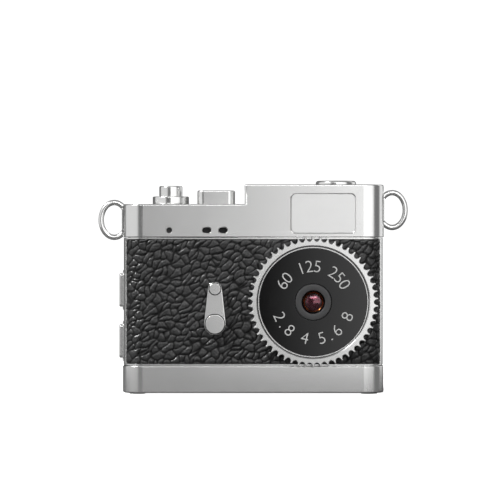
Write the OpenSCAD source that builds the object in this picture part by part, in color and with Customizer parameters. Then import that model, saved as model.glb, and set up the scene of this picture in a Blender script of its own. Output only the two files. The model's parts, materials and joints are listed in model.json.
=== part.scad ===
// Miniature camera with a toothed lens ring, plated covers and a leatherette band.
// X runs left to right seen from the front, the front faces -Y, and Z is up.
// The origin is the middle of the base cover's bottom face. Millimetres.

/* [Body] */
// Width of the top and base covers
body_w = 51.5; // [50.5:0.5:64]
// Depth of the top and base covers, front to back
body_d = 14; // [13.8:0.1:18]
// Radius of the upright corners of the covers
corner_r = 4.15; // [3.6:0.05:5]
// Height of the base cover
base_h = 5.3; // [5:0.1:7]
// Height of the leatherette band between the covers
band_h = 25.3; // [25.2:0.1:32]
// Height of the top cover up to its low deck
low_h = 6.5; // [6.4:0.1:8.5]
// Rise from the low deck to the raised deck
step_h = 3.85; // [3.5:0.05:6]
// Distance from the covers' left side to the step
step_in = 24.05; // [23.5:0.05:26]
// Radius of the step's upright edges
step_r = 0.5; // [0.2:0.1:1]

/* [Walls] */
// Wall of the two covers
cover_wall = 1; // [0.8:0.05:1.2]
// Floor of the base cover
floor_t = 1.2; // [1:0.05:1.6]
// Wall of the front and rear shells
shell_wall = 1.5; // [1.3:0.05:1.7]
// How far the shells stand back from the covers
shell_step = 0.2; // [0.1:0.05:0.4]
// Thickness of the leatherette
leather_t = 0.5; // [0.3:0.05:0.6]
// Plated lip left above and below the leatherette
lip_h = 0.28; // [0.2:0.02:0.6]
// Plated side band left between the front and rear leatherette
side_band = 9.2; // [8.8:0.1:10]
// Gap between a cover's edge and the shells' band
seam_gap = 0.1; // [0.05:0.05:0.3]
// Depth to which the shells' spigots enter the covers
spigot_h = 2.3; // [1.5:0.1:2.6]
// Clearance between a spigot and its cover
spigot_gap = 0.05; // [0.03:0.01:0.15]
// Distance from mid-depth back to the line where the shells part
part_y = 4; // [3.9:0.1:4.3]

/* [Lens and ring] */
// Distance of the lens axis from the covers' right side
lens_in = 14; // [13.6:0.05:16]
// Number of teeth on the ring
ring_teeth = 54; // [36:1:72]
// Radius over the tips of the ring's teeth
ring_tip_r = 12.75; // [12.4:0.05:13.5]
// Depth of the ring's teeth
tooth_h = 0.85; // [0.4:0.05:1.1]
// Radius inside the ring's face
ring_face_r = 10.8; // [10.7:0.05:11.2]
// Thickness of the ring at its teeth
ring_t = 1.9; // [1.4:0.1:2.6]
// Radius of the sleeve that the ring turns on
sleeve_r = 9.66; // [9.2:0.02:9.8]
// Radial clearance of the ring on its sleeve
ring_gap = 0.08; // [0.04:0.01:0.1]
// Radius of the black panel inside the ring
panel_r = 10.6; // [10.2:0.05:10.65]
// Thickness of the black panel
panel_t = 0.8; // [0.6:0.05:1.2]
// Outer radius of the lens barrel
barrel_r = 3.5; // [2.9:0.1:4.2]
// Length of the lens barrel
barrel_len = 6.4; // [6:0.1:6.6]
// Radius of the front glass opening
glass_r = 2.3; // [1.8:0.05:2.35]

/* [Lever] */
// Distance of the lever's pivot from the covers' left side
lever_in = 18.25; // [17:0.05:19]
// Height of the lever's pivot above the base cover
lever_up = 8.25; // [7.5:0.05:9]
// Distance from the pivot to the tip disc
lever_len = 6.9; // [5:0.1:7.5]
// Radius of the pivot disc
lever_big_r = 2.14; // [1.8:0.02:2.6]
// Radius of the tip disc
lever_small_r = 1.38; // [1:0.02:1.8]
// Thickness of the lever's arm
lever_t = 0.9; // [0.6:0.05:1.1]
// Radius of the lever's pin
pin_r = 0.8; // [0.6:0.05:0.9]
// Radial clearance of the pin in its bush
pin_gap = 0.05; // [0.02:0.01:0.1]

/* [Keys] */
// Distance of the shutter button from the covers' left side
shutter_in = 9.41; // [8:0.05:10]
// Radius of the shutter button
shutter_r = 2.3; // [1.75:0.05:2.6]
// Height of the shutter button above its collar
shutter_up = 2.08; // [1.2:0.02:3]
// Radius of the shutter collar
collar_r = 3.6; // [3.2:0.01:3.8]
// Height of the shutter collar
collar_h = 1.57; // [0.6:0.01:2]
// Travel of the shutter button
shutter_travel = 0.5; // [0.3:0.05:0.5]
// Distance of the mode key from the covers' left side
mode_in = 18.42; // [17.8:0.02:18.8]
// Width of the mode key
mode_w = 7.43; // [5:0.01:8]
// Depth of the mode key
mode_d = 5; // [3.5:0.1:5.4]
// Height of the mode key above the low deck
mode_up = 2.75; // [1:0.01:3.5]
// Upright corner radius of the mode key
mode_r = 1.3; // [0.5:0.05:1.6]
// Distance of the power button from the covers' right side
power_in = 9.35; // [9:0.05:11]
// Radius of the power button
power_r = 4; // [3:0.1:4.1]
// Height of the power button above the raised deck
power_up = 0.82; // [0.5:0.01:1.5]
// Travel of the mode, power and side keys
key_travel = 0.3; // [0.2:0.05:0.3]
// Gap between a key and the hole it slides in
key_gap = 0.1; // [0.06:0.01:0.2]
// Length of each side key
side_key_l = 6.6; // [5:0.1:7.2]
// Width of each side key, front to back
side_key_w = 3; // [2:0.1:3.6]
// How far each side key stands out of the side band
side_key_out = 0.95; // [0.5:0.05:1.4]
// Height of the lower side key's middle above the base cover
low_key_up = 4.75; // [4.6:0.05:5.2]
// Distance between the middles of the two side keys
key_pitch = 10.1; // [9.6:0.1:10.4]

/* [Cover details] */
// Distance of the viewfinder plate's middle from the covers' right side
finder_in = 12.02; // [11.5:0.02:13]
// Width of the viewfinder plate
finder_w = 12.6; // [8:0.1:13.4]
// Height of the viewfinder plate
finder_h = 7.7; // [5:0.1:8]
// Corner radius of the viewfinder plate
finder_r = 0.95; // [0.3:0.05:1.5]
// Depth of the viewfinder plate's face below the cover
finder_sink = 0.25; // [0.1:0.05:0.3]
// Radius of the microphone hole
mic_hole_r = 0.57; // [0.3:0.01:0.8]
// Length of each speaker slot
slot_l = 1.78; // [1.3:0.02:2.4]
// Height of each speaker slot
slot_h = 1.12; // [0.6:0.02:1.2]
// Height of the holes above the band
holes_up = 1.36; // [1.2:0.02:1.8]
// Half width of a strap loop, across
loop_rx = 3.15; // [2.6:0.05:4]
// Half height of a strap loop
loop_rz = 4; // [3:0.1:5]
// Width of a strap loop's section
loop_t = 1.1; // [0.8:0.05:1.4]
// Distance of a strap loop's centre outside the cover's side
loop_out = 1.8; // [0.8:0.05:2]

/* [Inside] */
// Distance of the main board's front behind mid-depth
board_in = 1; // [0.9:0.05:1.15]
// Thickness of the circuit boards
board_t = 0.8; // [0.6:0.1:0.8]
// Thickness of the battery
battery_t = 3.8; // [2.5:0.1:4]
// Width of the battery
battery_w = 21.6; // [15:0.1:22]
// Height of the battery
battery_h = 16.8; // [12:0.1:17]
// Width of the rear display
display_w = 26; // [20:0.5:26]
// Height of the rear display
display_h = 17; // [12:0.5:17]
// Thickness of the rear display
display_t = 1.5; // [1.2:0.1:1.6]
// Distance of the display's middle from the covers' left side
display_in = 20.75; // [18:0.05:21.5]

/* [Hidden] */
$fn = 48;

// Edges of the covers and shells
left = -body_w / 2;
right = body_w / 2;
front = -body_d / 2;
back = body_d / 2;
band_top = base_h + band_h;
low_top = band_top + low_h;
high_top = low_top + step_h;
step_x = left + step_in;
shell_front = front + shell_step;
shell_back = back - shell_step;
shell_side = right - shell_step;
inner_front = shell_front + shell_wall;
inner_back = shell_back - shell_wall;
inner_side = shell_side - shell_wall;
cover_side = right - cover_wall;
low_under = low_top - cover_wall;
high_under = high_top - cover_wall;
spigot_inset = cover_wall + spigot_gap;
cut = 1;

// Lens stack, from the panel's face back to the board
lens_x = right - lens_in;
lens_z = base_h + band_h / 2 - 0.07;
shoulder_r = sleeve_r + 0.64;
shoulder_y = shell_front - 0.3;
ring_back = shoulder_y - 0.1;
ring_front = ring_back - ring_t;
flange_t = 0.85;
ring_chamfer = 0.35;
panel_back = ring_back - flange_t - 0.1;
panel_front = panel_back - panel_t;
barrel_front = panel_front - 0.1;
barrel_back = barrel_front + barrel_len;
barrel_gap = 0.1;
hub_r = barrel_r + barrel_gap + 1;
holder_w = 2 * barrel_r + 2;
sensor_t = 0.7;
sensor_board_t = 0.6;
board_front = board_in;
board_back = board_front + board_t;
sensor_board_back = board_front - 1;
sensor_board_front = sensor_board_back - sensor_board_t;
filter_front = barrel_back + 0.2;
filter_t = 0.3;
seat_r = 1.6;
sensor_w = 5.2;
sensor_h = 4.6;
rear_bore_r = 2;
lens_depth = 1.3;
front_lens_in = 0.35;
stop_at = 2.6;
stop_t = 0.15;
stop_r = 0.7;
rear_lens_t = 1.2;
front_curve_r = 4;
rear_curve_r = 5;
retainer_t = 0.5;
retainer_r = 1.3;
rim_r = sleeve_r - 1.45;
rim_w = 0.75;
rim_t = 0.5;

// Lever
lever_x = left + lever_in;
lever_z = base_h + lever_up;
lever_back = shell_front - 0.25;
lever_front = lever_back - lever_t;
bush_r = pin_r + pin_gap + 0.4;
clip_y = inner_front + 0.15;
clip_t = 0.3;
pin_in = 0.3;
pin_end = clip_y + clip_t + 0.3;
groove_r = pin_r - 0.2;

// Keys on the decks
shutter_x = left + shutter_in;
mode_x = left + mode_in;
power_x = right - power_in;
flange_h = 0.6;
flange_rim = 0.75;
under_gap = 0.1;
stem_len = 0.5;
stem_r = 0.9;
switch_w = 3.4;
switch_h = shutter_travel + 0.4;
plunger_r = 0.75;
plunger_show = shutter_travel + 0.1;
plunger_len = plunger_show + 0.3;
board_drop = under_gap + flange_h + stem_len + plunger_show + switch_h;
key_board_top = low_under - board_drop;
key_board_low = key_board_top - board_t;
plunger_top = key_board_top + switch_h + plunger_show;
power_board_top = high_under - board_drop;
power_plunger_top = power_board_top + switch_h + plunger_show;
collar_bore_r = shutter_r + key_gap;
collar_plug_r = collar_bore_r + 0.5;
power_chamfer = 0.3;
side_key_r = 0.5;
spring_wire = 0.11;
spring_r = max(shutter_r + 0.47, switch_w / sqrt(2) + 0.2);
mic_x = left + 9.25;
slot_1_x = left + 16.6;
slot_2_x = left + 19.8;
holes_z = band_top + holes_up;
speaker_x = (slot_1_x + slot_2_x) / 2;
speaker_w = 8.5;
speaker_h = 4.7;
speaker_t = 2.2;
cloth_w = 7.2;
cloth_h = 3.2;
cloth_t = 0.15;
mic_r = 1.3;
mic_len = 1.5;
finder_x = right - finder_in;
finder_z = band_top + 4.64;
finder_t = 0.3;

// Side keys
key_face = -shell_side - side_key_out;
side_flange_x = -inner_side + 0.05;
side_flange_t = 0.5;
side_switch_x = side_flange_x + side_flange_t + key_travel + 0.3;
low_key_z = base_h + low_key_up;
up_key_z = low_key_z + key_pitch;
side_y = 0;
switch_deep = 2.2;

// Boards, sockets and fixings
board_left = side_switch_x;
board_right = inner_side - 1.25;
board_low = base_h + 2.7;
board_high = band_top - 1.1;
post_r = 1.4;
screw_bore_r = 0.6;
screw_hole_r = 0.8;
screw_bite = 1.6;
head_r = 1.1;
head_h = 0.6;
posts = [
    [-inner_side + 2.05, band_top - 3.6],
    [lens_x - 3.8, lens_z + 8.9],
    [lens_x - 7.55, lens_z - 7.9]
];
base_boss_r = 1.8;
base_screw_x = right - 6.75;
base_screw_y = inner_back - 1.6;
base_boss_top = base_h + 2.3;
base_screw_end = base_boss_top - 0.8;
base_head_low = 0.1;
base_head_top = 0.7;
base_head_r = 1.4;
slot_cut = 0.35;
pillar_r = 1.05;
key_pillars = [[left + 6, 4.1], [left + 21.6, 4.1]];
power_pillars = [[power_x - 5.4, 3.6], [power_x + 5.4, -3.6]];
usb_w = 8.94;
usb_h = 3.2;
usb_len = 7.3;
usb_z = base_h + 7.6;
usb_y = board_front - usb_h / 2;
usb_mouth = shell_side - 0.15;
card_l = 15;
card_w = 11;
card_t = 0.8;
card_gap = 0.1;
card_edge = shell_side - 0.15;
card_y = board_back + 0.75;
card_z = base_h + 18.7;
socket_t = 1.45;
battery_x = board_left + 3.3;
battery_z = base_h + 3.1;
battery_back = board_front - 1.4;
lead_r = 0.3;
lead_bend = 0.9;
display_x = left + display_in;
display_z = base_h + 12.7;
window_t = 0.9;
window_out = shell_back + 0.05;
foot_r = 1.6;
foot_h = 0.2;
foot_seat = 0.3;
foot_gap = 0.1;
foot_x = right - 2.95;
foot_y = back - 2.6;
loop_z_left = band_top + 3.44;
loop_z_right = band_top + 5.4;
loop_bar = 0.3;
tenon_h = 2;
tenon_w = 1;
snap_w = 4;
snap_h = 0.8;
snap_out = 0.25;
snap_z = band_top + 1.4;
snaps = [[-right + 12, 1], [right - 12, 1], [step_x + 4.7, -1]];
tongue_l = 0.8;
tongue_gap = 0.05;
tongue_inset = max(spigot_inset, shell_step + shell_wall - 0.65);

// ---- shared shapes ----

// Rectangle with round corners, centred
module rounded_rect(w, d, r) {
    square([w - 2 * r, d], center = true);
    square([w, d - 2 * r], center = true);
    for (sx = [-1, 1], sy = [-1, 1])
        translate([sx * (w / 2 - r), sy * (d / 2 - r)]) circle(r);
}

// Plan of the covers, moved in by a distance
module plan(inset) {
    rounded_rect(body_w - 2 * inset, body_d - 2 * inset, corner_r - inset);
}

// Plan ring between two insets
module plan_ring(outer, inner) {
    difference() {
        plan(outer);
        plan(inner);
    }
}

// Upright prism between two heights
module rise(z0, z1) {
    translate([0, 0, z0]) linear_extrude(z1 - z0) children();
}

// Slab drawn in X and Z that lies between two Y planes
module slab_xz(y0, y1) {
    translate([0, y1, 0]) rotate([90, 0, 0]) linear_extrude(y1 - y0) children();
}

// Slab drawn in Y and Z that lies between two X planes
module slab_yz(x0, x1) {
    translate([x0, 0, 0]) rotate([90, 0, 90]) linear_extrude(x1 - x0) children();
}

// Block given by its lowest and highest corners
module block(low, high) {
    translate(low) cube(high - low);
}

// Cylinder along Y between two planes, on an axis at x, z
module rod_y(x, z, y0, y1, r) {
    translate([x, y0, z]) rotate([-90, 0, 0]) cylinder(h = y1 - y0, r = r);
}

// Cylinder along Z between two heights
module rod_z(x, y, z0, z1, r) {
    translate([x, y, z0]) cylinder(h = z1 - z0, r = r);
}

// Slot with round ends, centred, long way across
module stadium(l, h) {
    square([l - h, h], center = true);
    for (s = [-1, 1]) translate([s * (l - h) / 2, 0]) circle(h / 2);
}

// ---- covers ----

// Plan of the raised part of the top cover, moved in by a distance
module high_plan(inset) {
    r = inset > 0 ? 0.01 : step_r;
    x0 = step_x + inset;
    half = back - inset;
    intersection() {
        plan(inset);
        union() {
            translate([x0 + r, -half]) square([body_w, 2 * half]);
            translate([x0, r - half]) square([body_w, 2 * (half - r)]);
            if (inset == 0)
                for (s = [-1, 1]) translate([x0 + r, s * (half - r)]) circle(r);
        }
    }
}

// Snap lugs on the shells' spigot, or with extra room their pockets in the cover
module snap_blocks(extra) {
    out = snap_out + extra;
    for (s = snaps) {
        y = s[1] * (back - spigot_inset);
        low_y = min(y, y + s[1] * out);
        block([s[0] - snap_w / 2 - extra, low_y, snap_z - (snap_h + extra) / 2],
              [s[0] + snap_w / 2 + extra, low_y + out, snap_z + (snap_h + extra) / 2]);
    }
}

module top_cover() {
    color("silver") difference() {
        union() {
            difference() {
                union() {
                    rise(band_top, low_top) plan(0);
                    rise(band_top, high_top) high_plan(0);
                }
                rise(band_top - cut, low_under) plan(cover_wall);
                rise(band_top, high_under) high_plan(cover_wall);
            }
            for (p = key_pillars) rod_z(p[0], p[1], key_board_top, low_under, pillar_r);
            for (p = power_pillars)
                rod_z(p[0], p[1], power_board_top, high_under, pillar_r);
        }
        rod_z(shutter_x, 0, low_under - cut, low_top + cut, collar_plug_r);
        rise(low_under - cut, low_top + cut)
            translate([mode_x, 0])
            rounded_rect(mode_w + 2 * key_gap, mode_d + 2 * key_gap, mode_r + key_gap);
        rod_z(power_x, 0, high_under - cut, high_top + cut, power_r + key_gap);
        rod_y(mic_x, holes_z, front - cut, front + 2 * cover_wall, mic_hole_r);
        slab_xz(front - cut, front + 2 * cover_wall) {
            translate([slot_1_x, holes_z]) stadium(slot_l, slot_h);
            translate([slot_2_x, holes_z]) stadium(slot_l, slot_h);
        }
        slab_xz(front - cut, front + finder_sink + finder_t)
            translate([finder_x, finder_z]) rounded_rect(finder_w, finder_h, finder_r);
        for (s = [[-1, loop_z_left], [1, loop_z_right]])
            block([s[0] > 0 ? cover_side - cut : left - cut, -tenon_w / 2, s[1] - tenon_h / 2],
                  [s[0] > 0 ? right + cut : -cover_side + cut, tenon_w / 2, s[1] + tenon_h / 2]);
        snap_blocks(0.1);
        for (p = key_pillars)
            rod_z(p[0], p[1], key_board_top - cut, key_board_top + screw_bite, screw_bore_r);
        for (p = power_pillars)
            rod_z(p[0], p[1], power_board_top - cut, power_board_top + screw_bite, screw_bore_r);
    }
}

module base_cover() {
    color("silver") difference() {
        rise(0, base_h) plan(0);
        rise(floor_t, base_h + cut) plan(cover_wall);
        for (sx = [-1, 1], sy = [-1, 1]) {
            rod_z(sx * base_screw_x, sy * base_screw_y, -cut, floor_t + cut, screw_hole_r);
            rod_z(sx * base_screw_x, sy * base_screw_y, -cut, base_head_top, base_head_r + 0.1);
            rod_z(sx * foot_x, sy * foot_y, -cut, foot_seat, foot_r + foot_gap);
        }
    }
}

module feet() {
    color("dimgray")
        for (sx = [-1, 1], sy = [-1, 1])
            rod_z(sx * foot_x, sy * foot_y, -foot_h, foot_seat, foot_r);
}

module base_screws() {
    color("gray")
        for (sx = [-1, 1], sy = [-1, 1])
            difference() {
                union() {
                    rod_z(sx * base_screw_x, sy * base_screw_y, base_head_low, base_head_top, base_head_r);
                    rod_z(sx * base_screw_x, sy * base_screw_y, base_head_low, base_screw_end, screw_bore_r);
                }
                for (a = [0, 90])
                    translate([sx * base_screw_x, sy * base_screw_y, base_head_low])
                        rotate([0, 0, a]) cube([1.6, slot_cut, 0.8], center = true);
            }
}

module viewfinder_plate() {
    color("gainsboro") slab_xz(front + finder_sink, front + finder_sink + finder_t)
        translate([finder_x, finder_z]) rounded_rect(finder_w, finder_h, finder_r);
}

// ---- shells and leatherette ----

module shell_walls() {
    rise(base_h + seam_gap, band_top - seam_gap)
        plan_ring(shell_step, shell_step + shell_wall);
    rise(base_h - spigot_h, band_top + spigot_h)
        plan_ring(spigot_inset, shell_step + shell_wall);
}

module leather_zone() {
    rise(base_h + seam_gap + lip_h, band_top - seam_gap - lip_h)
        plan_ring(shell_step, shell_step + leather_t);
}

// Half space in front of or behind a plane across Y
module before_y(y) {
    block([left - cut, front - 3, -cut], [right + cut, y, high_top + cut]);
}

module behind_y(y) {
    block([left - cut, y, -cut], [right + cut, back + 3, high_top + cut]);
}

module side_key_window(z) {
    slab_yz(-shell_side - cut, -inner_side + cut)
        translate([side_y, z])
        rounded_rect(side_key_w + 2 * key_gap, side_key_l + 2 * key_gap, side_key_r + key_gap);
}

module side_key_bezel(z) {
    slab_yz(-shell_side - 0.25, -shell_side + 0.5)
        translate([side_y, z]) rounded_rect(side_key_w + 1, side_key_l + 1.2, 0.9);
}

module front_shell() {
    color("lightgray") difference() {
        union() {
            intersection() {
                shell_walls();
                before_y(part_y);
            }
            rod_y(lens_x, lens_z, shoulder_y, inner_front, shoulder_r);
            rod_y(lens_x, lens_z, panel_back, inner_front, sleeve_r);
            for (p = posts) rod_y(p[0], p[1], inner_front - 0.5, board_front, post_r);
            for (sx = [-1, 1])
                rod_z(sx * base_screw_x, -base_screw_y, floor_t, base_boss_top, base_boss_r);
            side_key_bezel(low_key_z);
            side_key_bezel(up_key_z);
            intersection() {
                snap_blocks(0);
                before_y(0);
            }
        }
        intersection() {
            leather_zone();
            before_y(-side_band / 2);
            difference() {
                before_y(back);
                rod_y(lens_x, lens_z, front - 3, back, shoulder_r);
            }
        }
        behind_y(part_y);
        // rebate for the rear shell's tongue
        intersection() {
            rise(0, high_top) plan_ring(tongue_inset - tongue_gap, shell_step + shell_wall + cut);
            behind_y(part_y - tongue_l - tongue_gap);
            block([left, front, 0], [right, back, high_top]);
        }
        // hollow of the ring's sleeve and the barrel's bore
        difference() {
            rod_y(lens_x, lens_z, panel_back - cut, shell_front + leather_t, rim_r + 0.05);
            rod_y(lens_x, lens_z, panel_back - 2 * cut, inner_front + cut, hub_r);
        }
        rod_y(lens_x, lens_z, panel_back - cut, inner_front + cut, barrel_r + barrel_gap);
        rod_y(lever_x, lever_z, shell_front - cut, inner_front + cut, pin_r + pin_gap);
        side_key_window(low_key_z);
        side_key_window(up_key_z);
        // connector and card openings in the right side
        slab_yz(inner_side - cut, shell_side + cut) {
            translate([usb_y, usb_z])
                rounded_rect(usb_h + 0.2, usb_w + 0.2, usb_h / 2 + 0.09);
            translate([card_y, card_z]) square([card_t + 0.3, card_w + 0.4], center = true);
        }
        // room for the microphone and the speaker behind the cover's holes
        block([mic_x - 1.8, front, band_top - seam_gap],
              [slot_2_x + 3, inner_front + cut, band_top + spigot_h + cut]);
        for (p = posts) rod_y(p[0], p[1], board_front - 2, board_front + cut, screw_bore_r);
        for (sx = [-1, 1])
            rod_z(sx * base_screw_x, -base_screw_y, 0, base_screw_end, screw_bore_r);
    }
}

module rear_shell() {
    color("lightgray") difference() {
        union() {
            intersection() {
                shell_walls();
                behind_y(part_y);
            }
            intersection() {
                rise(base_h - spigot_h, band_top + spigot_h)
                    plan_ring(tongue_inset, shell_step + shell_wall);
                behind_y(part_y - tongue_l);
            }
            for (sx = [-1, 1])
                rod_z(sx * base_screw_x, base_screw_y, floor_t, base_boss_top, base_boss_r);
            intersection() {
                snap_blocks(0);
                behind_y(0);
            }
        }
        intersection() {
            leather_zone();
            behind_y(side_band / 2);
        }
        slab_xz(window_out - window_t, back + cut)
            translate([display_x, display_z]) rounded_rect(display_w + 1, display_h + 1, 1.5);
        slab_xz(inner_back - cut, back + cut)
            translate([display_x, display_z]) square([display_w - 4, display_h - 4], center = true);
        for (sx = [-1, 1])
            rod_z(sx * base_screw_x, base_screw_y, 0, base_screw_end, screw_bore_r);
    }
}

module front_leatherette() {
    color("#1a1a1a") difference() {
        intersection() {
            leather_zone();
            before_y(-side_band / 2);
        }
        rod_y(lens_x, lens_z, front - cut, inner_front, shoulder_r);
        rod_y(lever_x, lever_z, front - cut, inner_front, bush_r);
    }
}

module rear_leatherette() {
    color("#1a1a1a") difference() {
        intersection() {
            leather_zone();
            behind_y(side_band / 2);
        }
        slab_xz(inner_back, back + cut)
            translate([display_x, display_z]) rounded_rect(display_w + 1, display_h + 1, 1.5);
    }
}

// ---- strap loops ----

// Points round an ellipse
function ellipse(rx, rz, n) = [for (i = [0 : n - 1]) [rx * cos(i * 360 / n), rz * sin(i * 360 / n)]];

// Loop on the left side; z is its middle and top the cover's edge above it
module strap_loop(z, top) {
    side = left;
    slab_xz(-loop_t / 2, loop_t / 2) {
        intersection() {
            translate([side - loop_out, z]) difference() {
                polygon(ellipse(loop_rx, loop_rz, 72));
                polygon(ellipse(loop_rx - loop_t, loop_rz - loop_t, 72));
            }
            // the limbs slope in so that their ends stay on the cover's side
            polygon([
                [side, band_top + 0.1], [side, top - 0.1],
                [side - loop_out, top + loop_out], [side - 3 * loop_rx, top + loop_out],
                [side - 3 * loop_rx, band_top - loop_out], [side - loop_out, band_top - loop_out]
            ]);
        }
        translate([side - loop_bar, z - loop_rz + loop_t + 0.4])
            square([loop_bar, 2 * (loop_rz - loop_t) - 0.8]);
    }
    block([side - loop_bar, -tenon_w / 2, z - tenon_h / 2],
          [-cover_side, tenon_w / 2, z + tenon_h / 2]);
    block([-cover_side, -tenon_w, z - tenon_h / 2 - 0.1],
          [-cover_side + 0.4, tenon_w, z + tenon_h / 2 + 0.3]);
}

module strap_loop_left() {
    color("silver") strap_loop(loop_z_left, low_top);
}

module strap_loop_right() {
    color("silver") mirror([1, 0, 0]) strap_loop(loop_z_right, high_top);
}

// ---- lens and ring ----

// Height of a tooth at a share u of its pitch, from 0 in the gullet to 1 at the tip
function tooth(u) = (1 - cos(360 * u)) / 2;

// Outline of the toothed rim
function rim(steps) = [
    for (i = [0 : ring_teeth * steps - 1])
        let (a = i * 360 / (ring_teeth * steps), r = ring_tip_r - tooth_h * (1 - tooth(i / steps)))
        [r * cos(a), r * sin(a)]
];

module toothed_ring() {
    color("silver") difference() {
        slab_xz(ring_front, ring_back) translate([lens_x, lens_z]) polygon(rim(8));
        rod_y(lens_x, lens_z, ring_front - cut, ring_back + cut, sleeve_r + ring_gap);
        rod_y(lens_x, lens_z, ring_front - cut, ring_back - flange_t, ring_face_r);
        // bright inner chamfer
        translate([lens_x, ring_front, lens_z]) rotate([-90, 0, 0])
            cylinder(h = ring_chamfer, r1 = ring_face_r + ring_chamfer, r2 = ring_face_r);
    }
}

module lens_panel() {
    color("#0c0c0c") difference() {
        union() {
            rod_y(lens_x, lens_z, panel_front, panel_back, panel_r);
            // rim that centres the panel in the sleeve
            difference() {
                rod_y(lens_x, lens_z, panel_back, panel_back + rim_t, rim_r);
                rod_y(lens_x, lens_z, panel_back - cut, panel_back + cut, rim_r - rim_w);
            }
        }
        rod_y(lens_x, lens_z, panel_front - cut, panel_back + cut, barrel_r + barrel_gap);
    }
}

module lens_barrel() {
    color("#505050") difference() {
        rod_y(lens_x, lens_z, barrel_front, barrel_back, barrel_r);
        rod_y(lens_x, lens_z, barrel_front - cut, barrel_front + front_lens_in + lens_depth, glass_r);
        rod_y(lens_x, lens_z, barrel_front, barrel_back, seat_r);
        rod_y(lens_x, lens_z, barrel_front + stop_at, barrel_back + cut, rear_bore_r);
    }
}

module front_lens() {
    y = barrel_front + front_lens_in;
    color("#30303a", 0.8) intersection() {
        rod_y(lens_x, lens_z, y, y + lens_depth, glass_r);
        translate([lens_x, y + front_curve_r, lens_z]) sphere(front_curve_r);
    }
}

module aperture_stop() {
    color("#181818") difference() {
        rod_y(lens_x, lens_z, barrel_front + stop_at, barrel_front + stop_at + stop_t, rear_bore_r);
        rod_y(lens_x, lens_z, barrel_front, barrel_back, stop_r);
    }
}

module rear_lens() {
    y = barrel_front + stop_at + stop_t;
    color("#404050", 0.8) intersection() {
        rod_y(lens_x, lens_z, y, y + rear_lens_t, rear_bore_r);
        translate([lens_x, y + rear_lens_t - rear_curve_r, lens_z]) sphere(rear_curve_r);
    }
}

module lens_retainer() {
    y = barrel_front + stop_at + stop_t + rear_lens_t;
    color("#202020") difference() {
        rod_y(lens_x, lens_z, y, y + retainer_t, rear_bore_r);
        rod_y(lens_x, lens_z, y - cut, y + cut, retainer_r);
    }
}

module square_xz(x, z, w, h) {
    translate([x, z]) square([w, h], center = true);
}

module lens_holder() {
    color("#202020") difference() {
        slab_xz(inner_front, sensor_board_front) square_xz(lens_x, lens_z, holder_w, holder_w);
        rod_y(lens_x, lens_z, inner_front - cut, barrel_back + 0.1, barrel_r);
        rod_y(lens_x, lens_z, barrel_back, filter_front + cut, barrel_r - 0.5);
        slab_xz(filter_front, sensor_board_front + cut)
            square_xz(lens_x, lens_z, holder_w - 2, holder_w - 2);
    }
}

module infrared_filter() {
    color("#6a3050", 0.6) slab_xz(filter_front, filter_front + filter_t)
        square_xz(lens_x, lens_z, holder_w - 2.2, holder_w - 2.2);
}

module image_sensor() {
    color("#2a2a30") slab_xz(sensor_board_front - sensor_t, sensor_board_front)
        square_xz(lens_x, lens_z, sensor_w, sensor_h);
}

module sensor_board() {
    color("#1e5b2e") slab_xz(sensor_board_front, sensor_board_back)
        square_xz(lens_x, lens_z, holder_w, holder_w);
}

module sensor_connector() {
    color("#d8d2c0") slab_xz(sensor_board_back, board_front) square_xz(lens_x, lens_z, 6, 2.4);
}

// ---- lever ----

// Arm outline: two discs and the straight sides that touch both
module lever_outline() {
    lean = asin((lever_big_r - lever_small_r) / lever_len);
    circle(lever_big_r);
    translate([0, lever_len]) circle(lever_small_r);
    polygon([
        lever_big_r * [-cos(lean), sin(lean)],
        [0, lever_len] + lever_small_r * [-cos(lean), sin(lean)],
        [0, lever_len] + lever_small_r * [cos(lean), sin(lean)],
        lever_big_r * [cos(lean), sin(lean)]
    ]);
}

module lever_arm() {
    color("silver") difference() {
        union() {
            slab_xz(lever_front, lever_back) translate([lever_x, lever_z]) lever_outline();
            rod_y(lever_x, lever_z, lever_front - 0.15, lever_back, lever_big_r - 0.2);
            rod_y(lever_x, lever_z + lever_len, lever_front - 0.1, lever_back, lever_small_r - 0.1);
        }
        rod_y(lever_x, lever_z, lever_front + pin_in, lever_back + cut, pin_r);
    }
}

module lever_pin() {
    color("gray") difference() {
        rod_y(lever_x, lever_z, lever_front + pin_in, pin_end, pin_r);
        difference() {
            rod_y(lever_x, lever_z, clip_y, clip_y + clip_t, pin_r + cut);
            rod_y(lever_x, lever_z, clip_y - cut, pin_end + cut, groove_r);
        }
    }
}

module lever_bush() {
    color("goldenrod") difference() {
        rod_y(lever_x, lever_z, shell_front - 0.2, shell_front + leather_t, bush_r);
        rod_y(lever_x, lever_z, shell_front - cut, inner_front, pin_r + pin_gap);
    }
}

module lever_clip() {
    color("darkgray") difference() {
        rod_y(lever_x, lever_z, clip_y, clip_y + clip_t, pin_r + 0.6);
        rod_y(lever_x, lever_z, clip_y - cut, clip_y + cut, groove_r);
        block([lever_x - 0.45, clip_y - cut, lever_z - 3], [lever_x + 0.45, clip_y + cut, lever_z]);
    }
}

// ---- keys ----

module shutter_button() {
    flange_top = low_under - under_gap;
    color("silver") {
        rod_z(shutter_x, 0, flange_top - flange_h, low_top + collar_h + shutter_up, shutter_r);
        rod_z(shutter_x, 0, flange_top - flange_h, flange_top, spring_r + 0.28);
        rod_z(shutter_x, 0, plunger_top, flange_top, stem_r);
    }
}

module shutter_collar() {
    color("silver") difference() {
        union() {
            rod_z(shutter_x, 0, low_top, low_top + collar_h, collar_r);
            rod_z(shutter_x, 0, low_under, low_top, collar_plug_r);
        }
        rod_z(shutter_x, 0, low_under - cut, low_top + collar_h + cut, collar_bore_r);
    }
}

// Point on a coil's surface: turn angle t, angle a round the wire
function coil_point(r, wire, pitch, t, a) = [
    (r + wire * cos(a)) * cos(t),
    (r + wire * cos(a)) * sin(t),
    pitch * t / 360 + wire * sin(a)
];

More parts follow.
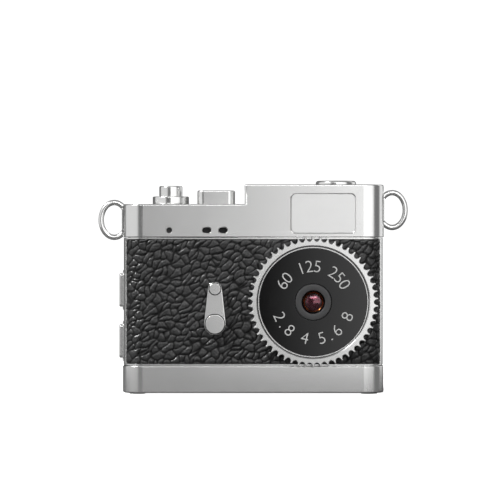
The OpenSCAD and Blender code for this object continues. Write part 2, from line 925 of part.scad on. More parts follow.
// Open coil of round wire, swept from ring to ring and closed at both ends
module coil(r, wire, height, turns) {
    sides = 8;
    rings = turns * 18;
    pitch = (height - 2 * wire) / turns;
    points = [for (i = [0 : rings], j = [0 : sides - 1])
        coil_point(r, wire, pitch, i * 360 * turns / rings, j * 360 / sides)];
    skin = [for (i = [0 : rings - 1], j = [0 : sides - 1])
        let (k = (j + 1) % sides)
        [i * sides + j, (i + 1) * sides + j, (i + 1) * sides + k, i * sides + k]];
    first = [for (j = [0 : sides - 1]) j];
    last = [for (j = [sides - 1 : -1 : 0]) rings * sides + j];
    translate([0, 0, wire]) polyhedron(points, concat(skin, [first], [last]), convexity = 8);
}

module shutter_spring() {
    low = key_board_top + 0.02;
    high = low_under - under_gap - flange_h - 0.02;
    color("darkgray") translate([shutter_x, 0, low]) coil(spring_r, spring_wire, high - low, 4);
}

module mode_key() {
    flange_top = low_under - under_gap;
    color("silver") translate([mode_x, 0]) {
        rise(flange_top - flange_h, low_top + mode_up) rounded_rect(mode_w, mode_d, mode_r);
        rise(flange_top - flange_h, flange_top) rounded_rect(mode_w + 1, mode_d + 0.5, mode_r);
        rod_z(0, 0, plunger_top, flange_top, stem_r);
    }
}

module power_button() {
    flange_top = high_under - under_gap;
    top = high_top + power_up;
    color("silver") {
        rod_z(power_x, 0, flange_top - flange_h, top - power_chamfer, power_r);
        translate([power_x, 0, top - power_chamfer])
            cylinder(h = power_chamfer, r1 = power_r, r2 = power_r - power_chamfer);
        rod_z(power_x, 0, flange_top - flange_h, flange_top, power_r + flange_rim);
        rod_z(power_x, 0, power_plunger_top, flange_top, stem_r);
    }
}

module side_key(z) {
    color("silver") {
        slab_yz(key_face, side_flange_x + side_flange_t) translate([side_y, z])
            rounded_rect(side_key_w, side_key_l, side_key_r);
        slab_yz(side_flange_x, side_flange_x + side_flange_t) translate([side_y, z])
            rounded_rect(side_key_w + 1, side_key_l + 1, side_key_r);
    }
}

module upper_side_key() {
    side_key(up_key_z);
}

module lower_side_key() {
    side_key(low_key_z);
}

module top_plunger(x, top) {
    color("white") rod_z(x, 0, top - plunger_len, top, plunger_r);
}

module shutter_plunger() {
    top_plunger(shutter_x, plunger_top);
}

module mode_plunger() {
    top_plunger(mode_x, plunger_top);
}

module power_plunger() {
    top_plunger(power_x, power_plunger_top);
}

module side_plunger(z) {
    color("white") slab_yz(side_flange_x + side_flange_t, side_switch_x + 0.3)
        translate([side_y, z]) circle(plunger_r - 0.15);
}

module upper_side_plunger() {
    side_plunger(up_key_z);
}

module lower_side_plunger() {
    side_plunger(low_key_z);
}

module deck_switch(x, board_top) {
    difference() {
        translate([x, 0, board_top + switch_h / 2]) cube([switch_w, switch_w, switch_h], center = true);
        rod_z(x, 0, board_top + 0.05, board_top + switch_h + cut, plunger_r + 0.1);
    }
}

module side_switch(z) {
    difference() {
        block([side_switch_x, board_front - switch_deep, z - 1.75],
              [side_switch_x + 2, board_front, z + 1.75]);
        slab_yz(side_switch_x - cut, side_switch_x + 0.75)
            translate([side_y, z]) circle(plunger_r - 0.05);
    }
}

module switch_housings() {
    color("#303030") {
        deck_switch(shutter_x, key_board_top);
        deck_switch(mode_x, key_board_top);
        deck_switch(power_x, power_board_top);
        side_switch(low_key_z);
        side_switch(up_key_z);
    }
}

// ---- boards and what is on them ----

module key_board() {
    color("#1e5b2e") difference() {
        block([left + 4.6, -3.1, key_board_low], [left + 23, 5.2, key_board_top]);
        for (p = key_pillars) rod_z(p[0], p[1], key_board_low - cut, key_board_top + cut, screw_hole_r);
    }
}

module power_board() {
    color("#1e5b2e") difference() {
        block([power_x - 7, -4.9, power_board_top - board_t], [power_x + 7, 4.9, power_board_top]);
        for (p = power_pillars)
            rod_z(p[0], p[1], power_board_top - board_t - cut, power_board_top + cut, screw_hole_r);
    }
}

module main_board() {
    color("#1e5b2e") difference() {
        slab_xz(board_front, board_back) {
            translate([board_left, board_low]) square([board_right - board_left, board_high - board_low]);
            translate([mode_x - 4, board_low]) square([8, key_board_low - board_low]);
            translate([power_x - 4, board_low]) square([8, power_board_top - board_t - board_low]);
        }
        for (p = posts) rod_y(p[0], p[1], board_front - cut, board_back + cut, screw_hole_r);
    }
}

module screw_y(x, z) {
    difference() {
        union() {
            rod_y(x, z, board_front - screw_bite, board_back, screw_bore_r);
            rod_y(x, z, board_back, board_back + head_h, head_r);
        }
        block([x - 0.8, board_back + 0.3, z - slot_cut / 2], [x + 0.8, board_back + cut, z + slot_cut / 2]);
    }
}

module screw_up(p, top) {
    difference() {
        union() {
            rod_z(p[0], p[1], top - board_t - head_h, top - board_t, head_r);
            rod_z(p[0], p[1], top - board_t, top + screw_bite - 0.1, screw_bore_r);
        }
        block([p[0] - 0.8, p[1] - slot_cut / 2, top - board_t - cut],
              [p[0] + 0.8, p[1] + slot_cut / 2, top - board_t - 0.3]);
    }
}

module board_screws() {
    color("gray") {
        for (p = posts) screw_y(p[0], p[1]);
        for (p = key_pillars) screw_up(p, key_board_top);
        for (p = power_pillars) screw_up(p, power_board_top);
    }
}

// Chip on the back of the main board: left, low, width, height, thickness
module chip(x, z, w, h, t) {
    block([x, board_back, z], [x + w, board_back + t, z + h]);
}

module board_chips() {
    color("#202020") {
        chip(display_x - 9, base_h + 11, 8, 8, 1);
        chip(display_x + 2, base_h + 13, 6, 5, 0.9);
        chip(display_x - 9, base_h + 6, 3, 3, 0.9);
        chip(display_x + 4, base_h + 7.5, 3.2, 2.5, 1.1);
    }
}

module speaker() {
    color("#404040")
        block([speaker_x - speaker_w / 2, front + cover_wall + cloth_t, band_top + 0.1],
              [speaker_x + speaker_w / 2, front + cover_wall + cloth_t + speaker_t, band_top + speaker_h]);
}

module speaker_cloth() {
    color("#0a0a0a")
        block([speaker_x - cloth_w / 2, front + cover_wall, band_top + 0.3],
              [speaker_x + cloth_w / 2, front + cover_wall + cloth_t, band_top + cloth_h]);
}

module microphone() {
    color("#303030") rod_y(mic_x, holes_z, front + cover_wall, front + cover_wall + mic_len, mic_r);
}

module card_socket() {
    z0 = card_z - card_w / 2;
    z1 = card_z + card_w / 2;
    color("silver") difference() {
        block([card_edge - card_l - 0.4, board_back, z0 - 0.8],
              [inner_side - 0.05, board_back + socket_t, z1 + 0.8]);
        block([card_edge - card_l - 0.1, card_y - card_t / 2 - card_gap, z0 - card_gap],
              [right, card_y + card_t / 2 + card_gap, z1 + card_gap]);
    }
}

module memory_card() {
    color("#181818") slab_xz(card_y - card_t / 2, card_y + card_t / 2)
        translate([card_edge - card_l, card_z - card_w / 2]) difference() {
            square([card_l, card_w]);
            translate([-cut, card_w - 1.3]) square([cut + 6, 2]);
        }
}

module usb_port() {
    color("silver") difference() {
        slab_yz(usb_mouth - usb_len, usb_mouth)
            translate([usb_y, usb_z]) rounded_rect(usb_h, usb_w, usb_h / 2 - 0.01);
        slab_yz(usb_mouth - usb_len + 1, usb_mouth + cut)
            translate([usb_y, usb_z]) difference() {
                rounded_rect(usb_h - 0.6, usb_w - 0.6, usb_h / 2 - 0.31);
                square([0.7, usb_w - 2.2], center = true);
            }
    }
}

module battery() {
    color("#3c5a8c") {
        block([battery_x, battery_back - battery_t, battery_z],
              [battery_x + battery_w, battery_back, battery_z + battery_h - 1.4]);
        block([battery_x + 0.6, battery_back - battery_t + 0.6, battery_z + battery_h - 1.4],
              [battery_x + battery_w - 0.6, battery_back - 0.6, battery_z + battery_h]);
    }
}

// Lead that rises from the battery, bends and runs to the board
module lead(x) {
    y = battery_back - battery_t / 2;
    z = battery_z + battery_h;
    rod_z(x, y, z, z + 0.4, lead_r);
    translate([x, y + lead_bend, z + 0.4]) rotate([90, 0, -90])
        rotate_extrude(angle = 90) translate([lead_bend, 0]) circle(lead_r);
    rod_y(x, z + 0.4 + lead_bend, y + lead_bend, board_front, lead_r);
}

module battery_leads() {
    color("firebrick") {
        lead(battery_x + 4);
        lead(battery_x + 6);
    }
}

module display_module() {
    color("#282c30") slab_xz(inner_back - display_t, inner_back)
        square_xz(display_x, display_z, display_w, display_h);
}

module display_window() {
    color("#08080a") slab_xz(window_out - window_t, window_out)
        translate([display_x, display_z]) rounded_rect(display_w + 0.9, display_h + 0.9, 1.45);
}

module display_ribbon() {
    y = inner_back - display_t / 2;
    z = display_z - display_h / 2;
    color("#b87333") {
        block([display_x - 3, y - 0.15, z - 0.8], [display_x + 3, y, z]);
        block([display_x - 3, board_back + 0.6, z - 0.95], [display_x + 3, y, z - 0.8]);
        block([display_x - 3, board_back, z - 0.95], [display_x + 3, board_back + 0.75, z + 0.6]);
    }
}

top_cover();
base_cover();
front_shell();
rear_shell();
front_leatherette();
rear_leatherette();
viewfinder_plate();
strap_loop_left();
strap_loop_right();
feet();
base_screws();
toothed_ring();
lens_panel();
lens_barrel();
front_lens();
aperture_stop();
rear_lens();
lens_retainer();
lens_holder();
infrared_filter();
image_sensor();
sensor_board();
sensor_connector();
lever_arm();
lever_pin();
lever_bush();
lever_clip();
shutter_button();
shutter_collar();
shutter_spring();
mode_key();
power_button();
upper_side_key();
lower_side_key();
shutter_plunger();
mode_plunger();
power_plunger();
upper_side_plunger();
lower_side_plunger();
switch_housings();
key_board();
power_board();
main_board();
board_screws();
board_chips();
speaker();
speaker_cloth();
microphone();
card_socket();
memory_card();
usb_port();
battery();
battery_leads();
display_module();
display_window();
display_ribbon();
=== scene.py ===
import json
import math

import bmesh
import bpy
import numpy as np
from bpy.props import FloatProperty, FloatVectorProperty, IntProperty, PointerProperty, StringProperty
from mathutils import Matrix, Vector

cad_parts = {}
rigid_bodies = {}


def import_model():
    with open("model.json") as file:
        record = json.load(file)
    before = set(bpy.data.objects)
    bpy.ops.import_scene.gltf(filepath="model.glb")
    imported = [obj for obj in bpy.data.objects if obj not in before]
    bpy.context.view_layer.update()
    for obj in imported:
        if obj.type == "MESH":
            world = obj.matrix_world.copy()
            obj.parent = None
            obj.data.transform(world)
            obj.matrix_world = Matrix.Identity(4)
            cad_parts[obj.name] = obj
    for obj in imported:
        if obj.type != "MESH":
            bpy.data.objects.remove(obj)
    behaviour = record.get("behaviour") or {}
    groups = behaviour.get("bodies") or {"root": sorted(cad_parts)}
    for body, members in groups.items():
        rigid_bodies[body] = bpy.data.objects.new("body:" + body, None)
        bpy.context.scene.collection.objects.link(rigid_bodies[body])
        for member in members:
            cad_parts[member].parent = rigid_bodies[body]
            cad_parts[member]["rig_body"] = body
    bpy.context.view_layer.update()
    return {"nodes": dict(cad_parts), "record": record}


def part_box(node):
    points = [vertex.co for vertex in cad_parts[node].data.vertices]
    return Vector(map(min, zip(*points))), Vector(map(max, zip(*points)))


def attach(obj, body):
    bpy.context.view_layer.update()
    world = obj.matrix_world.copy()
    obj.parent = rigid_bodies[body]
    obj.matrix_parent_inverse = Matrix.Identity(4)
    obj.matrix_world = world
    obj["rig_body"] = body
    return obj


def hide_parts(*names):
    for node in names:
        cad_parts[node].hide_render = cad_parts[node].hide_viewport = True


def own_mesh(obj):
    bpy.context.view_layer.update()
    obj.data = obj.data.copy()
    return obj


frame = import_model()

bl_info = {
    "name": "Miniature Camera Pieces",
    "version": (1, 0, 0),
    "blender": (4, 5, 0),
    "location": "View3D > Sidebar > Mini Camera",
    "description": "Makes the plated, leathered and glazed pieces of a miniature camera round its frame",
    "category": "Add Mesh",
}

MM = 0.001
NEAR = 1e-4
X, Y, Z = range(3)
CASE = "case"

# Sizes in millimetres that the pieces share with the frame
GAP = 0.1
MODE_SIZE = (7.43, 5.0)
POWER_R = 4.0
MIC_R = 0.57
SLOT_SIZE = (1.78, 1.12)
SLOTS_IN = (2.0, 5.2)
FINDER_CORNER = 0.95
PLUG_R = 2.9
BASE_FLOOR = 1.2
FOOT_PLACE, FOOT_SEAT_R, FOOT_SEAT_DEEP = (22.8, 4.4), 1.7, 0.3
SCREW_PLACE, SCREW_HEAD_R, SCREW_HEAD_DEEP, SCREW_R = (19, 3.7), 1.5, 0.7, 0.8
SLEEVE_R, BUSH_R = 10.3, 1.3
WINDOW_CORNER, WINDOW_HOLE_CORNER = 1.45, 1.5
PANEL_THICK, PANEL_COLLAR_R, PANEL_COLLAR_BORE = 0.8, 9.5, 8.9
BARREL_BORE, BARREL_STOP_R, BARREL_STOP_Y = 2.0, 1.6, -6.45
STEM_R, FLANGE_THICK, FLANGE_UNDER, BUTTON_FLANGE = 0.9, 0.6, 1.1, 0.75
LEVER_STEP, LEVER_PIN_R, LEVER_EDGE = 0.15, 0.8, 0.27
LOOP_HALF_WIDE = 3.15
BAR_IN, BAR_OUT, BAR_HALF, BAR_CORNER = 0.35, 0.3, 2.6, 0.5
TENON_HALF, HEAD_THICK, HEAD_DOWN, HEAD_UP = 1.0, 0.4, 1.1, 1.3

# How far a cutter reaches out past a face, and in behind it
PAST = 1.0
DEEP = 2.0
HAIR = 0.001


# ---- sizes and colours ----

def size(label, about, millimetres):
    """A length that a user may change, given in millimetres and kept in metres."""
    return FloatProperty(name=label, description=about, default=millimetres * MM, min=0,
                         unit="LENGTH", precision=5)


def share(label, about, value):
    """A number between 0 and 1."""
    return FloatProperty(name=label, description=about, default=value, min=0, max=1, subtype="FACTOR")


def tint(label, about, *rgb):
    """A linear colour."""
    return FloatVectorProperty(name=label, description=about, default=rgb, min=0, max=1, size=3,
                               subtype="COLOR")


class PlatingLook(bpy.types.PropertyGroup):
    """Satin plating of the covers, ring, lever and keys"""
    cover: tint("Cover colour", "Colour of the plated covers", 0.80, 0.80, 0.795)
    shell: tint("Shell colour", "Colour of the band behind the leatherette", 0.74, 0.74, 0.735)
    turned: tint("Turned colour", "Colour of the ring, the lever and the collar", 0.80, 0.80, 0.795)
    satin: share("Satin roughness", "Roughness of the satin plating", 0.19)
    bright: share("Bright roughness", "Roughness of the keys and the shutter", 0.19)


class CoverSizes(bpy.types.PropertyGroup):
    """The two plated covers"""
    corner: size("Corner radius", "Radius of the upright corners", 4.15)
    wall: size("Wall", "Thickness of the covers", 1.0)
    step_in: size("Step place", "From the left side to the step of the top cover", 24.05)
    step_rise: size("Step rise", "From the low deck to the raised deck", 3.85)
    step_corner: size("Step corner", "Radius of the step's upright edges", 0.5)
    rim: size("Deck rim", "Rounding of the decks' edges", 0.3)
    seam: size("Seam rim", "Rounding of the edges beside the leatherette", 0.16)
    hole_rim: size("Hole rim", "Chamfer round the holes", 0.14)


class LeatherSizes(bpy.types.PropertyGroup):
    """Grain of the leatherette"""
    cell: size("Pebble size", "Width of one pebble of the grain", 1.15)
    stretch: FloatProperty(name="Pebble stretch", description="Length of a pebble over its width",
                           default=1.7, min=1)
    lean: FloatProperty(name="Lean", description="Slope of the long pebbles",
                        default=math.radians(36), subtype="ANGLE")
    depth: size("Relief", "Height of the pebbles above the creases", 0.3)
    pitch: size("Mesh pitch", "Spacing of the relief's points", 0.168)
    sheet: size("Sheet", "Thickness of the leatherette", 0.5)
    # The pebble colour is the leatherette's own; the crease colour is painted shade that darkens the creases
    top: tint("Pebble colour", "Colour of the worn pebble tops", 0.012, 0.012, 0.0125)
    crease: tint("Crease colour", "Colour down in the creases", 0.001, 0.001, 0.0011)


class RingSizes(bpy.types.PropertyGroup):
    """The toothed ring and the panel inside it"""
    teeth: IntProperty(name="Teeth", description="Number of teeth round the ring", default=54, min=3)
    depth: size("Tooth depth", "Depth of the gullets between the teeth", 0.85)
    gullet: share("Gullet share", "Share of the pitch that the round gullet takes", 0.8)
    face: size("Inner face", "Radius inside the ring's face", 10.8)
    bore: size("Bore", "Radius of the bore that turns on the sleeve", 9.74)
    flange: size("Flange", "Thickness of the flange under the panel", 0.85)
    chamfer: size("Inner chamfer", "Chamfer inside the ring's face", 0.35)
    rim: size("Tooth rim", "Chamfer along the teeth", 0.1)


class DialSizes(bpy.types.PropertyGroup):
    """White figures round the lens"""
    upper: StringProperty(name="Upper figures", description="Shutter dial figures, tops outwards",
                          default="60 125 250")
    lower: StringProperty(name="Lower figures", description="Aperture dial figures, tops inwards",
                          default="2.8 4 5.6 8")
    height: size("Figure height", "Height of the figures", 2.45)
    radius: size("Figure circle", "Radius through the middle of the figures", 7.1)
    thin: size("Thinning", "How much the strokes are thinned", 0.05)
    paint: size("Paint", "Thickness of the printed figures", 0.015)
    pitch: FloatProperty(name="Figure pitch", description="Angle from one figure to the next",
                         default=math.radians(13.4), subtype="ANGLE")


class LensLook(bpy.types.PropertyGroup):
    """Glass and coatings"""
    opening: size("Opening", "Radius of the front glass", 2.3)
    front_coat: tint("Front coating", "Colour that the front coating reflects", 0.62, 0.10, 0.18)
    back_coat: tint("Back coating", "Colour that the back coating reflects", 0.95, 0.33, 0.10)


class KeySizes(bpy.types.PropertyGroup):
    """Shutter, mode, power and side keys, and the lever"""
    soft: size("Soft rim", "Rounding of the keys' top edges", 0.28)
    mode_corner: size("Mode corner", "Upright corner radius of the mode key", 1.3)
    power_chamfer: size("Power chamfer", "Chamfer round the power button", 0.3)
    lever_tip: size("Lever tip", "Radius of the lever's tip disc", 1.38)
    lever_pivot: size("Lever pivot", "Radius of the lever's pivot disc", 2.14)
    lever_rim: size("Lever rim", "Chamfer round the lever", 0.16)
    loop_section: size("Loop section", "Thickness of a strap loop", 1.1)


class StageLook(bpy.types.PropertyGroup):
    """Floor, lights and camera"""
    wide: size("Framed width", "Width that the camera sees at the object's front", 98.04)
    away: size("Camera distance", "From the camera to the object's front", 600.0)
    height: size("Camera height", "Height of the camera above the base", 28.08)
    aside: FloatProperty(name="Camera offset", description="Sideways place of the camera",
                         default=-0.637 * MM, unit="LENGTH", precision=5)
    studio: FloatProperty(name="Studio level", description="Strength of the studio's walls",
                          default=1.9, min=0)
    key: FloatProperty(name="Key light", description="Strength of the light that grazes the front",
                       default=4.2, min=0)
    floor: tint("Floor colour", "Pale colour of the floor", 0.93, 0.93, 0.93)


SETTINGS = {
    "minicam_plating": PlatingLook, "minicam_cover": CoverSizes, "minicam_leather": LeatherSizes,
    "minicam_ring": RingSizes, "minicam_dial": DialSizes, "minicam_lens": LensLook,
    "minicam_keys": KeySizes, "minicam_stage": StageLook,
}


# ---- shader maths ----

class Wire:
    """One value in a material. Arithmetic on it adds Math nodes."""

    def __init__(self, finish, socket):
        self.finish = finish
        self.socket = socket

    def sum(self, operation, first, second):
        return self.finish.node("ShaderNodeMath", {"operation": operation}, {0: first, 1: second})

    def __add__(self, other):
        return self.sum("ADD", self, other)

    def __radd__(self, other):
        return self.sum("ADD", other, self)

    def __sub__(self, other):
        return self.sum("SUBTRACT", self, other)

    def __rsub__(self, other):
        return self.sum("SUBTRACT", other, self)

    def __mul__(self, other):
        return self.sum("MULTIPLY", self, other)

    def __rmul__(self, other):
        return self.sum("MULTIPLY", other, self)

    def __truediv__(self, other):
        return self.sum("DIVIDE", self, other)

    def __rtruediv__(self, other):
        return self.sum("DIVIDE", other, self)

    def __lt__(self, other):
        return self.sum("LESS_THAN", self, other)


class NodeTree:
    """A node tree under construction."""

    def __init__(self, tree):
        self.tree = tree

    def node(self, kind, settings=None, sockets=None, output=0):
        """Adds one node: its settings first, then the values or links of its sockets."""
        made = self.tree.nodes.new(kind)
        for name, value in (settings or {}).items():
            if name == "stops":
                self.set_stops(made.color_ramp, value)
            else:
                setattr(made, name, value)
        for name, value in (sockets or {}).items():
            self.set_input(made.inputs[name], value)
        return Wire(self, made.outputs[output])

    def set_stops(self, ramp, stops):
        """Gives a colour ramp its (place, level) stops, from the lowest place to the highest."""
        ends = [ramp.elements[0], ramp.elements[-1]]
        for end, (place, level) in zip(ends, (stops[0], stops[-1])):
            end.position, end.color = place, (level, level, level, 1)
        for place, level in stops[1:-1]:
            ramp.elements.new(place).color = (level, level, level, 1)

    def set_input(self, socket, value):
        if isinstance(value, Wire):
            self.tree.links.new(value.socket, socket)
        elif isinstance(value, tuple) and len(value) == 3 and socket.type == "RGBA":
            socket.default_value = (*value, 1)
        else:
            socket.default_value = value

    def blend(self, factor, first, second):
        """Mixes two colours."""
        return self.node("ShaderNodeMix", {"data_type": "RGBA"}, {0: factor, 6: first, 7: second}, 2)

    def spread(self, value, low, high, to_low=0.0, to_high=1.0):
        """Maps a value from one range to another, without passing its ends."""
        ends = {"From Min": low, "From Max": high, "To Min": to_low, "To Max": to_high}
        return self.node("ShaderNodeMapRange", {"interpolation_type": "SMOOTHSTEP"}, {"Value": value, **ends})

    def split(self, vector, axis):
        return self.node("ShaderNodeSeparateXYZ", None, {0: vector}, axis)


class Finish(NodeTree):
    """A procedural material. Its patterns lie in object space, in millimetres."""

    def __init__(self, name, **constants):
        self.material = bpy.data.materials.new(name)
        self.material.use_nodes = True
        super().__init__(self.material.node_tree)
        self.shader = self.tree.nodes["Principled BSDF"]
        for label, value in constants.items():
            self.set_input(self.shader.inputs[label.replace("_", " ")], value)
        self.place = self.node("ShaderNodeTexCoord", output="Object")
        self.grid = self.stretched(1, 1, 1)

    def stretched(self, x, y, z, turn=(0.0, 0.0, 0.0)):
        """Object coordinates in millimetres, scaled along each axis and turned."""
        return self.node("ShaderNodeMapping", None,
                         {"Vector": self.place, "Scale": (x / MM, y / MM, z / MM), "Rotation": turn})

    def noise(self, per_mm, detail=2.0, where=None, roughness=0.5):
        pattern = {"Scale": per_mm, "Detail": detail, "Roughness": roughness}
        return self.node("ShaderNodeTexNoise", None, {"Vector": where or self.grid, **pattern})

    def cells(self, per_mm, feature="F1"):
        return self.node("ShaderNodeTexVoronoi", {"feature": feature}, {"Vector": self.grid, "Scale": per_mm})

    def waves(self, per_mm, direction):
        return self.node("ShaderNodeTexWave", {"bands_direction": direction},
                         {"Vector": self.grid, "Scale": per_mm, "Distortion": 0.4})

    def over_clear(self, factor, clear):
        """Shows the finish through a Mix Shader, over clear glass of a colour."""
        glass = self.node("ShaderNodeBsdfTransparent", None, {"Color": clear})
        mixed = self.node("ShaderNodeMixShader", None,
                          {0: factor, 1: glass, 2: Wire(self, self.shader.outputs[0])})
        self.tree.links.new(mixed.socket, self.tree.nodes["Material Output"].inputs["Surface"])

    def feed(self, **wires):
        for label, value in wires.items():
            self.set_input(self.shader.inputs[label.replace("_", " ")], value)

    def bump(self, height, microns, strength=1.0, under=None):
        """A bump that stands a number of microns high, on top of another if one is given."""
        sockets = {"Height": height, "Distance": microns * 1e-6, "Strength": strength}
        if under:
            sockets["Normal"] = under
        return self.node("ShaderNodeBump", None, sockets)


# ---- finishes ----

def plating(name, colour, satin):
    """Satin nickel: fine blasted grain, faint hairlines and handling marks."""
    f = Finish(name, Metallic=1.0)
    smear = f.noise(0.22, 4, roughness=0.6)
    grain = f.noise(16, 2)
    hair = f.noise(1, 3, f.stretched(0.25, 0.25, 14, (0.0, 0.04, 0.03)))
    scratch = f.spread(hair, 0.66, 0.74)
    f.feed(Base_Color=f.blend(f.spread(smear, 0.3, 0.75), colour, tuple(0.97 * c for c in colour)),
           Roughness=f.spread(smear, 0.25, 0.8, satin - 0.01, satin + 0.02) + scratch * 0.02 + grain * 0.02,
           Normal=f.bump(scratch, 0.3, 0.4, f.bump(grain, 0.25, 0.4)))
    return f


def brushed(name, colour, rough):
    """Brushed or rolled metal, with its lines running along X."""
    f = Finish(name, Metallic=1.0)
    lines = f.noise(1, 4, f.stretched(0.4, 18, 18))
    dull = f.noise(0.9, 3)
    f.feed(Base_Color=f.blend(lines, colour, tuple(0.82 * c for c in colour)),
           Roughness=rough + 0.14 * lines + 0.06 * dull, Normal=f.bump(lines, 1.5, 0.6))
    return f


def moulded(name, colour, rough, pores=9.0, microns=3.0):
    """Moulded plastic or rubber with a fine spark-eroded texture."""
    f = Finish(name)
    texture = f.noise(pores, 4, roughness=0.6)
    cloud = f.noise(0.4, 3)
    f.feed(Base_Color=f.blend(cloud, colour, tuple(0.8 * c for c in colour)),
           Roughness=rough + 0.08 * texture, Normal=f.bump(texture, microns, 0.7))
    return f


def gloss_black():
    """Polished black panel with the faintest orange peel and dust."""
    f = Finish("gloss_black_panel", Coat_Roughness=0.03, Specular_IOR_Level=0.4)
    peel = f.noise(0.5, 2)
    dust = f.spread(f.cells(1.6), 0.05, 0.0)
    f.feed(Base_Color=f.blend(dust, (0.0028, 0.0028, 0.003), (0.03, 0.03, 0.03)),
           Roughness=f.spread(peel, 0.3, 0.7, 0.05, 0.07) + 0.2 * dust, Coat_Weight=0.1 - 0.1 * dust,
           Normal=f.bump(peel, 1.2, 0.4))
    return f


def printed_white():
    """Screen-printed figures."""
    f = Finish("printed_white")
    speck = f.noise(12, 3)
    f.feed(Base_Color=f.blend(speck, (0.5, 0.5, 0.495), (0.42, 0.42, 0.415)), Roughness=0.42 + 0.12 * speck,
           Normal=f.bump(speck, 2, 0.5))
    return f


def anodised():
    """Dark grey anodised barrel with turning marks round its axis."""
    f = Finish("anodised_dark", Metallic=0.35)
    marks = f.noise(1, 2, f.stretched(2, 24, 2))
    grain = f.noise(14, 3)
    f.feed(Base_Color=f.blend(grain, (0.05, 0.05, 0.051), (0.04, 0.04, 0.041)), Roughness=0.46 + 0.1 * grain,
           Normal=f.bump(marks, 1.5, 0.5, f.bump(grain, 1.2, 0.5)))
    return f


def leather(look):
    """Black leatherette: creases darkened with painted shade, satin tops, pores. Follows the grain attribute
    of the mesh.
    """
    f = Finish("pebbled_leatherette", Specular_IOR_Level=0.2, Coat_Roughness=0.32)
    grain = f.node("ShaderNodeAttribute", {"attribute_name": "grain"}, output="Fac")
    pores = f.noise(7, 4, roughness=0.65)
    fine = f.cells(4.2, "DISTANCE_TO_EDGE")
    wrinkle = f.spread(fine, 0.0, 0.16)
    patch = f.noise(0.12, 3)
    # Painted shade: the base colour darkens towards the crease colour down in the creases, as occlusion would
    tops = f.spread(grain, 0.25, 0.95)
    skin_with_crease_shade = f.blend(tops, tuple(look.crease), tuple(look.top))
    f.feed(Base_Color=f.blend(f.spread(patch, 0.35, 0.7) * 0.35, skin_with_crease_shade, (0.015, 0.015, 0.0155)),
           Roughness=f.spread(grain, 0.1, 1.0, 0.55, 0.4) + 0.12 * pores,
           Coat_Weight=f.spread(grain, 0.0, 0.5) * (0.55 + 0.45 * f.spread(pores, 0.35, 0.6)),
           Normal=f.bump(wrinkle, 26, 0.8, f.bump(pores, 22, 0.8)))
    return f


def coated_glass(name, colour):
    """Clear glass: its edge-on gloss hides what lies behind, and the coating tints it."""
    f = Finish(name, Base_Color=colour, Metallic=1.0)
    smudge = f.noise(0.8, 3)
    f.feed(Roughness=f.spread(smudge, 0.3, 0.8, 0.03, 0.07))
    facing = f.node("ShaderNodeFresnel", None, {"IOR": 1.5})
    f.over_clear(facing * 0.85 + 0.012, (0.94, 0.94, 0.95))
    return f


def coating(name, colour, strength):
    """Coated surface inside the lens: lets most light by and reflects the rest in its colour."""
    f = Finish(name, Metallic=1.0)
    streak = f.noise(1.2, 2)
    f.feed(Base_Color=f.blend(streak, colour, tuple(0.75 * c for c in colour)),
           Roughness=0.14 + 0.08 * streak)
    f.over_clear(strength, (0.9, 0.9, 0.9))
    return f


def display_glass(panel):
    """Black display glass: a slightly lighter picture area shows through it."""
    low, high, fade = panel.low, panel.high, 0.1
    f = Finish("display_glass", Specular_IOR_Level=0.5)
    across, up = f.split(f.grid, X), f.split(f.grid, Z)
    inside = (f.spread(across, low.x, low.x + fade) * f.spread(across, high.x, high.x - fade)
              * f.spread(up, low.z, low.z + fade) * f.spread(up, high.z, high.z - fade))
    smudge = f.noise(0.3, 4)
    f.feed(Base_Color=f.blend(inside, (0.002, 0.002, 0.0022), (0.010, 0.012, 0.014)),
           Roughness=f.spread(smudge, 0.3, 0.8, 0.05, 0.14), Normal=f.bump(smudge, 1, 0.2))
    return f


def circuit_board():
    """Green solder mask over copper tracks, with tinned pads."""
    f = Finish("circuit_board")
    tracks = f.node("ShaderNodeTexBrick", {"offset": 0.5},
                    {"Vector": f.grid, "Scale": 0.9, "Mortar Size": 0.09, "Mortar Smooth": 0.2}, "Fac")
    pads = f.spread(f.cells(1.3), 0.2, 0.16)
    haze = f.noise(1.5, 3)
    mask = f.blend(tracks, (0.006, 0.075, 0.022), (0.015, 0.16, 0.05))
    f.feed(Base_Color=f.blend(pads, mask, (0.55, 0.56, 0.55)), Metallic=pads, Roughness=0.28 + 0.2 * haze,
           Normal=f.bump(tracks + pads, 30, 0.7))
    return f


def woven(name, colour):
    """Acoustic cloth: a plain weave of fine threads."""
    f = Finish(name)
    weave = f.node("ShaderNodeMath", {"operation": "MAXIMUM"}, {0: f.waves(1.6, "X"), 1: f.waves(1.6, "Z")})
    f.feed(Base_Color=f.blend(weave, (0.0, 0.0, 0.0), colour), Roughness=0.95 - 0.1 * weave,
           Normal=f.bump(weave, 40, 0.9))
    return f


def wrapped():
    """Shrink wrap of the battery: blue film with creases and a plain band."""
    f = Finish("battery_wrap", Coat_Roughness=0.15)
    fold = f.noise(0.7, 3, f.stretched(0.5, 1, 2))
    band = f.spread(f.split(f.grid, Z), 22.0, 22.3)
    f.feed(Base_Color=f.blend(band, (0.035, 0.085, 0.25), (0.7, 0.7, 0.68)), Roughness=0.3 + 0.2 * fold,
           Coat_Weight=0.3 * fold, Normal=f.bump(fold, 40, 0.6))
    return f


def filter_film():
    """Dark magenta filter glass."""
    f = Finish("infrared_filter_glass", Specular_IOR_Level=0.6)
    haze = f.noise(0.9, 2)
    f.feed(Base_Color=f.blend(haze, (0.09, 0.01, 0.035), (0.05, 0.008, 0.03)), Roughness=0.06 + 0.05 * haze)
    return f


# ---- shapes: everything is drawn in millimetres and scaled once, when it is set down ----

class Span:
    """A CAD node's box at rest, in millimetres."""

    def __init__(self, node):
        low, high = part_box(node)
        self.low, self.high = low / MM, high / MM
        self.mid = (self.low + self.high) / 2
        self.size = self.high - self.low


def unit(axis):
    return Vector([1.0 if a == axis else 0.0 for a in (X, Y, Z)])


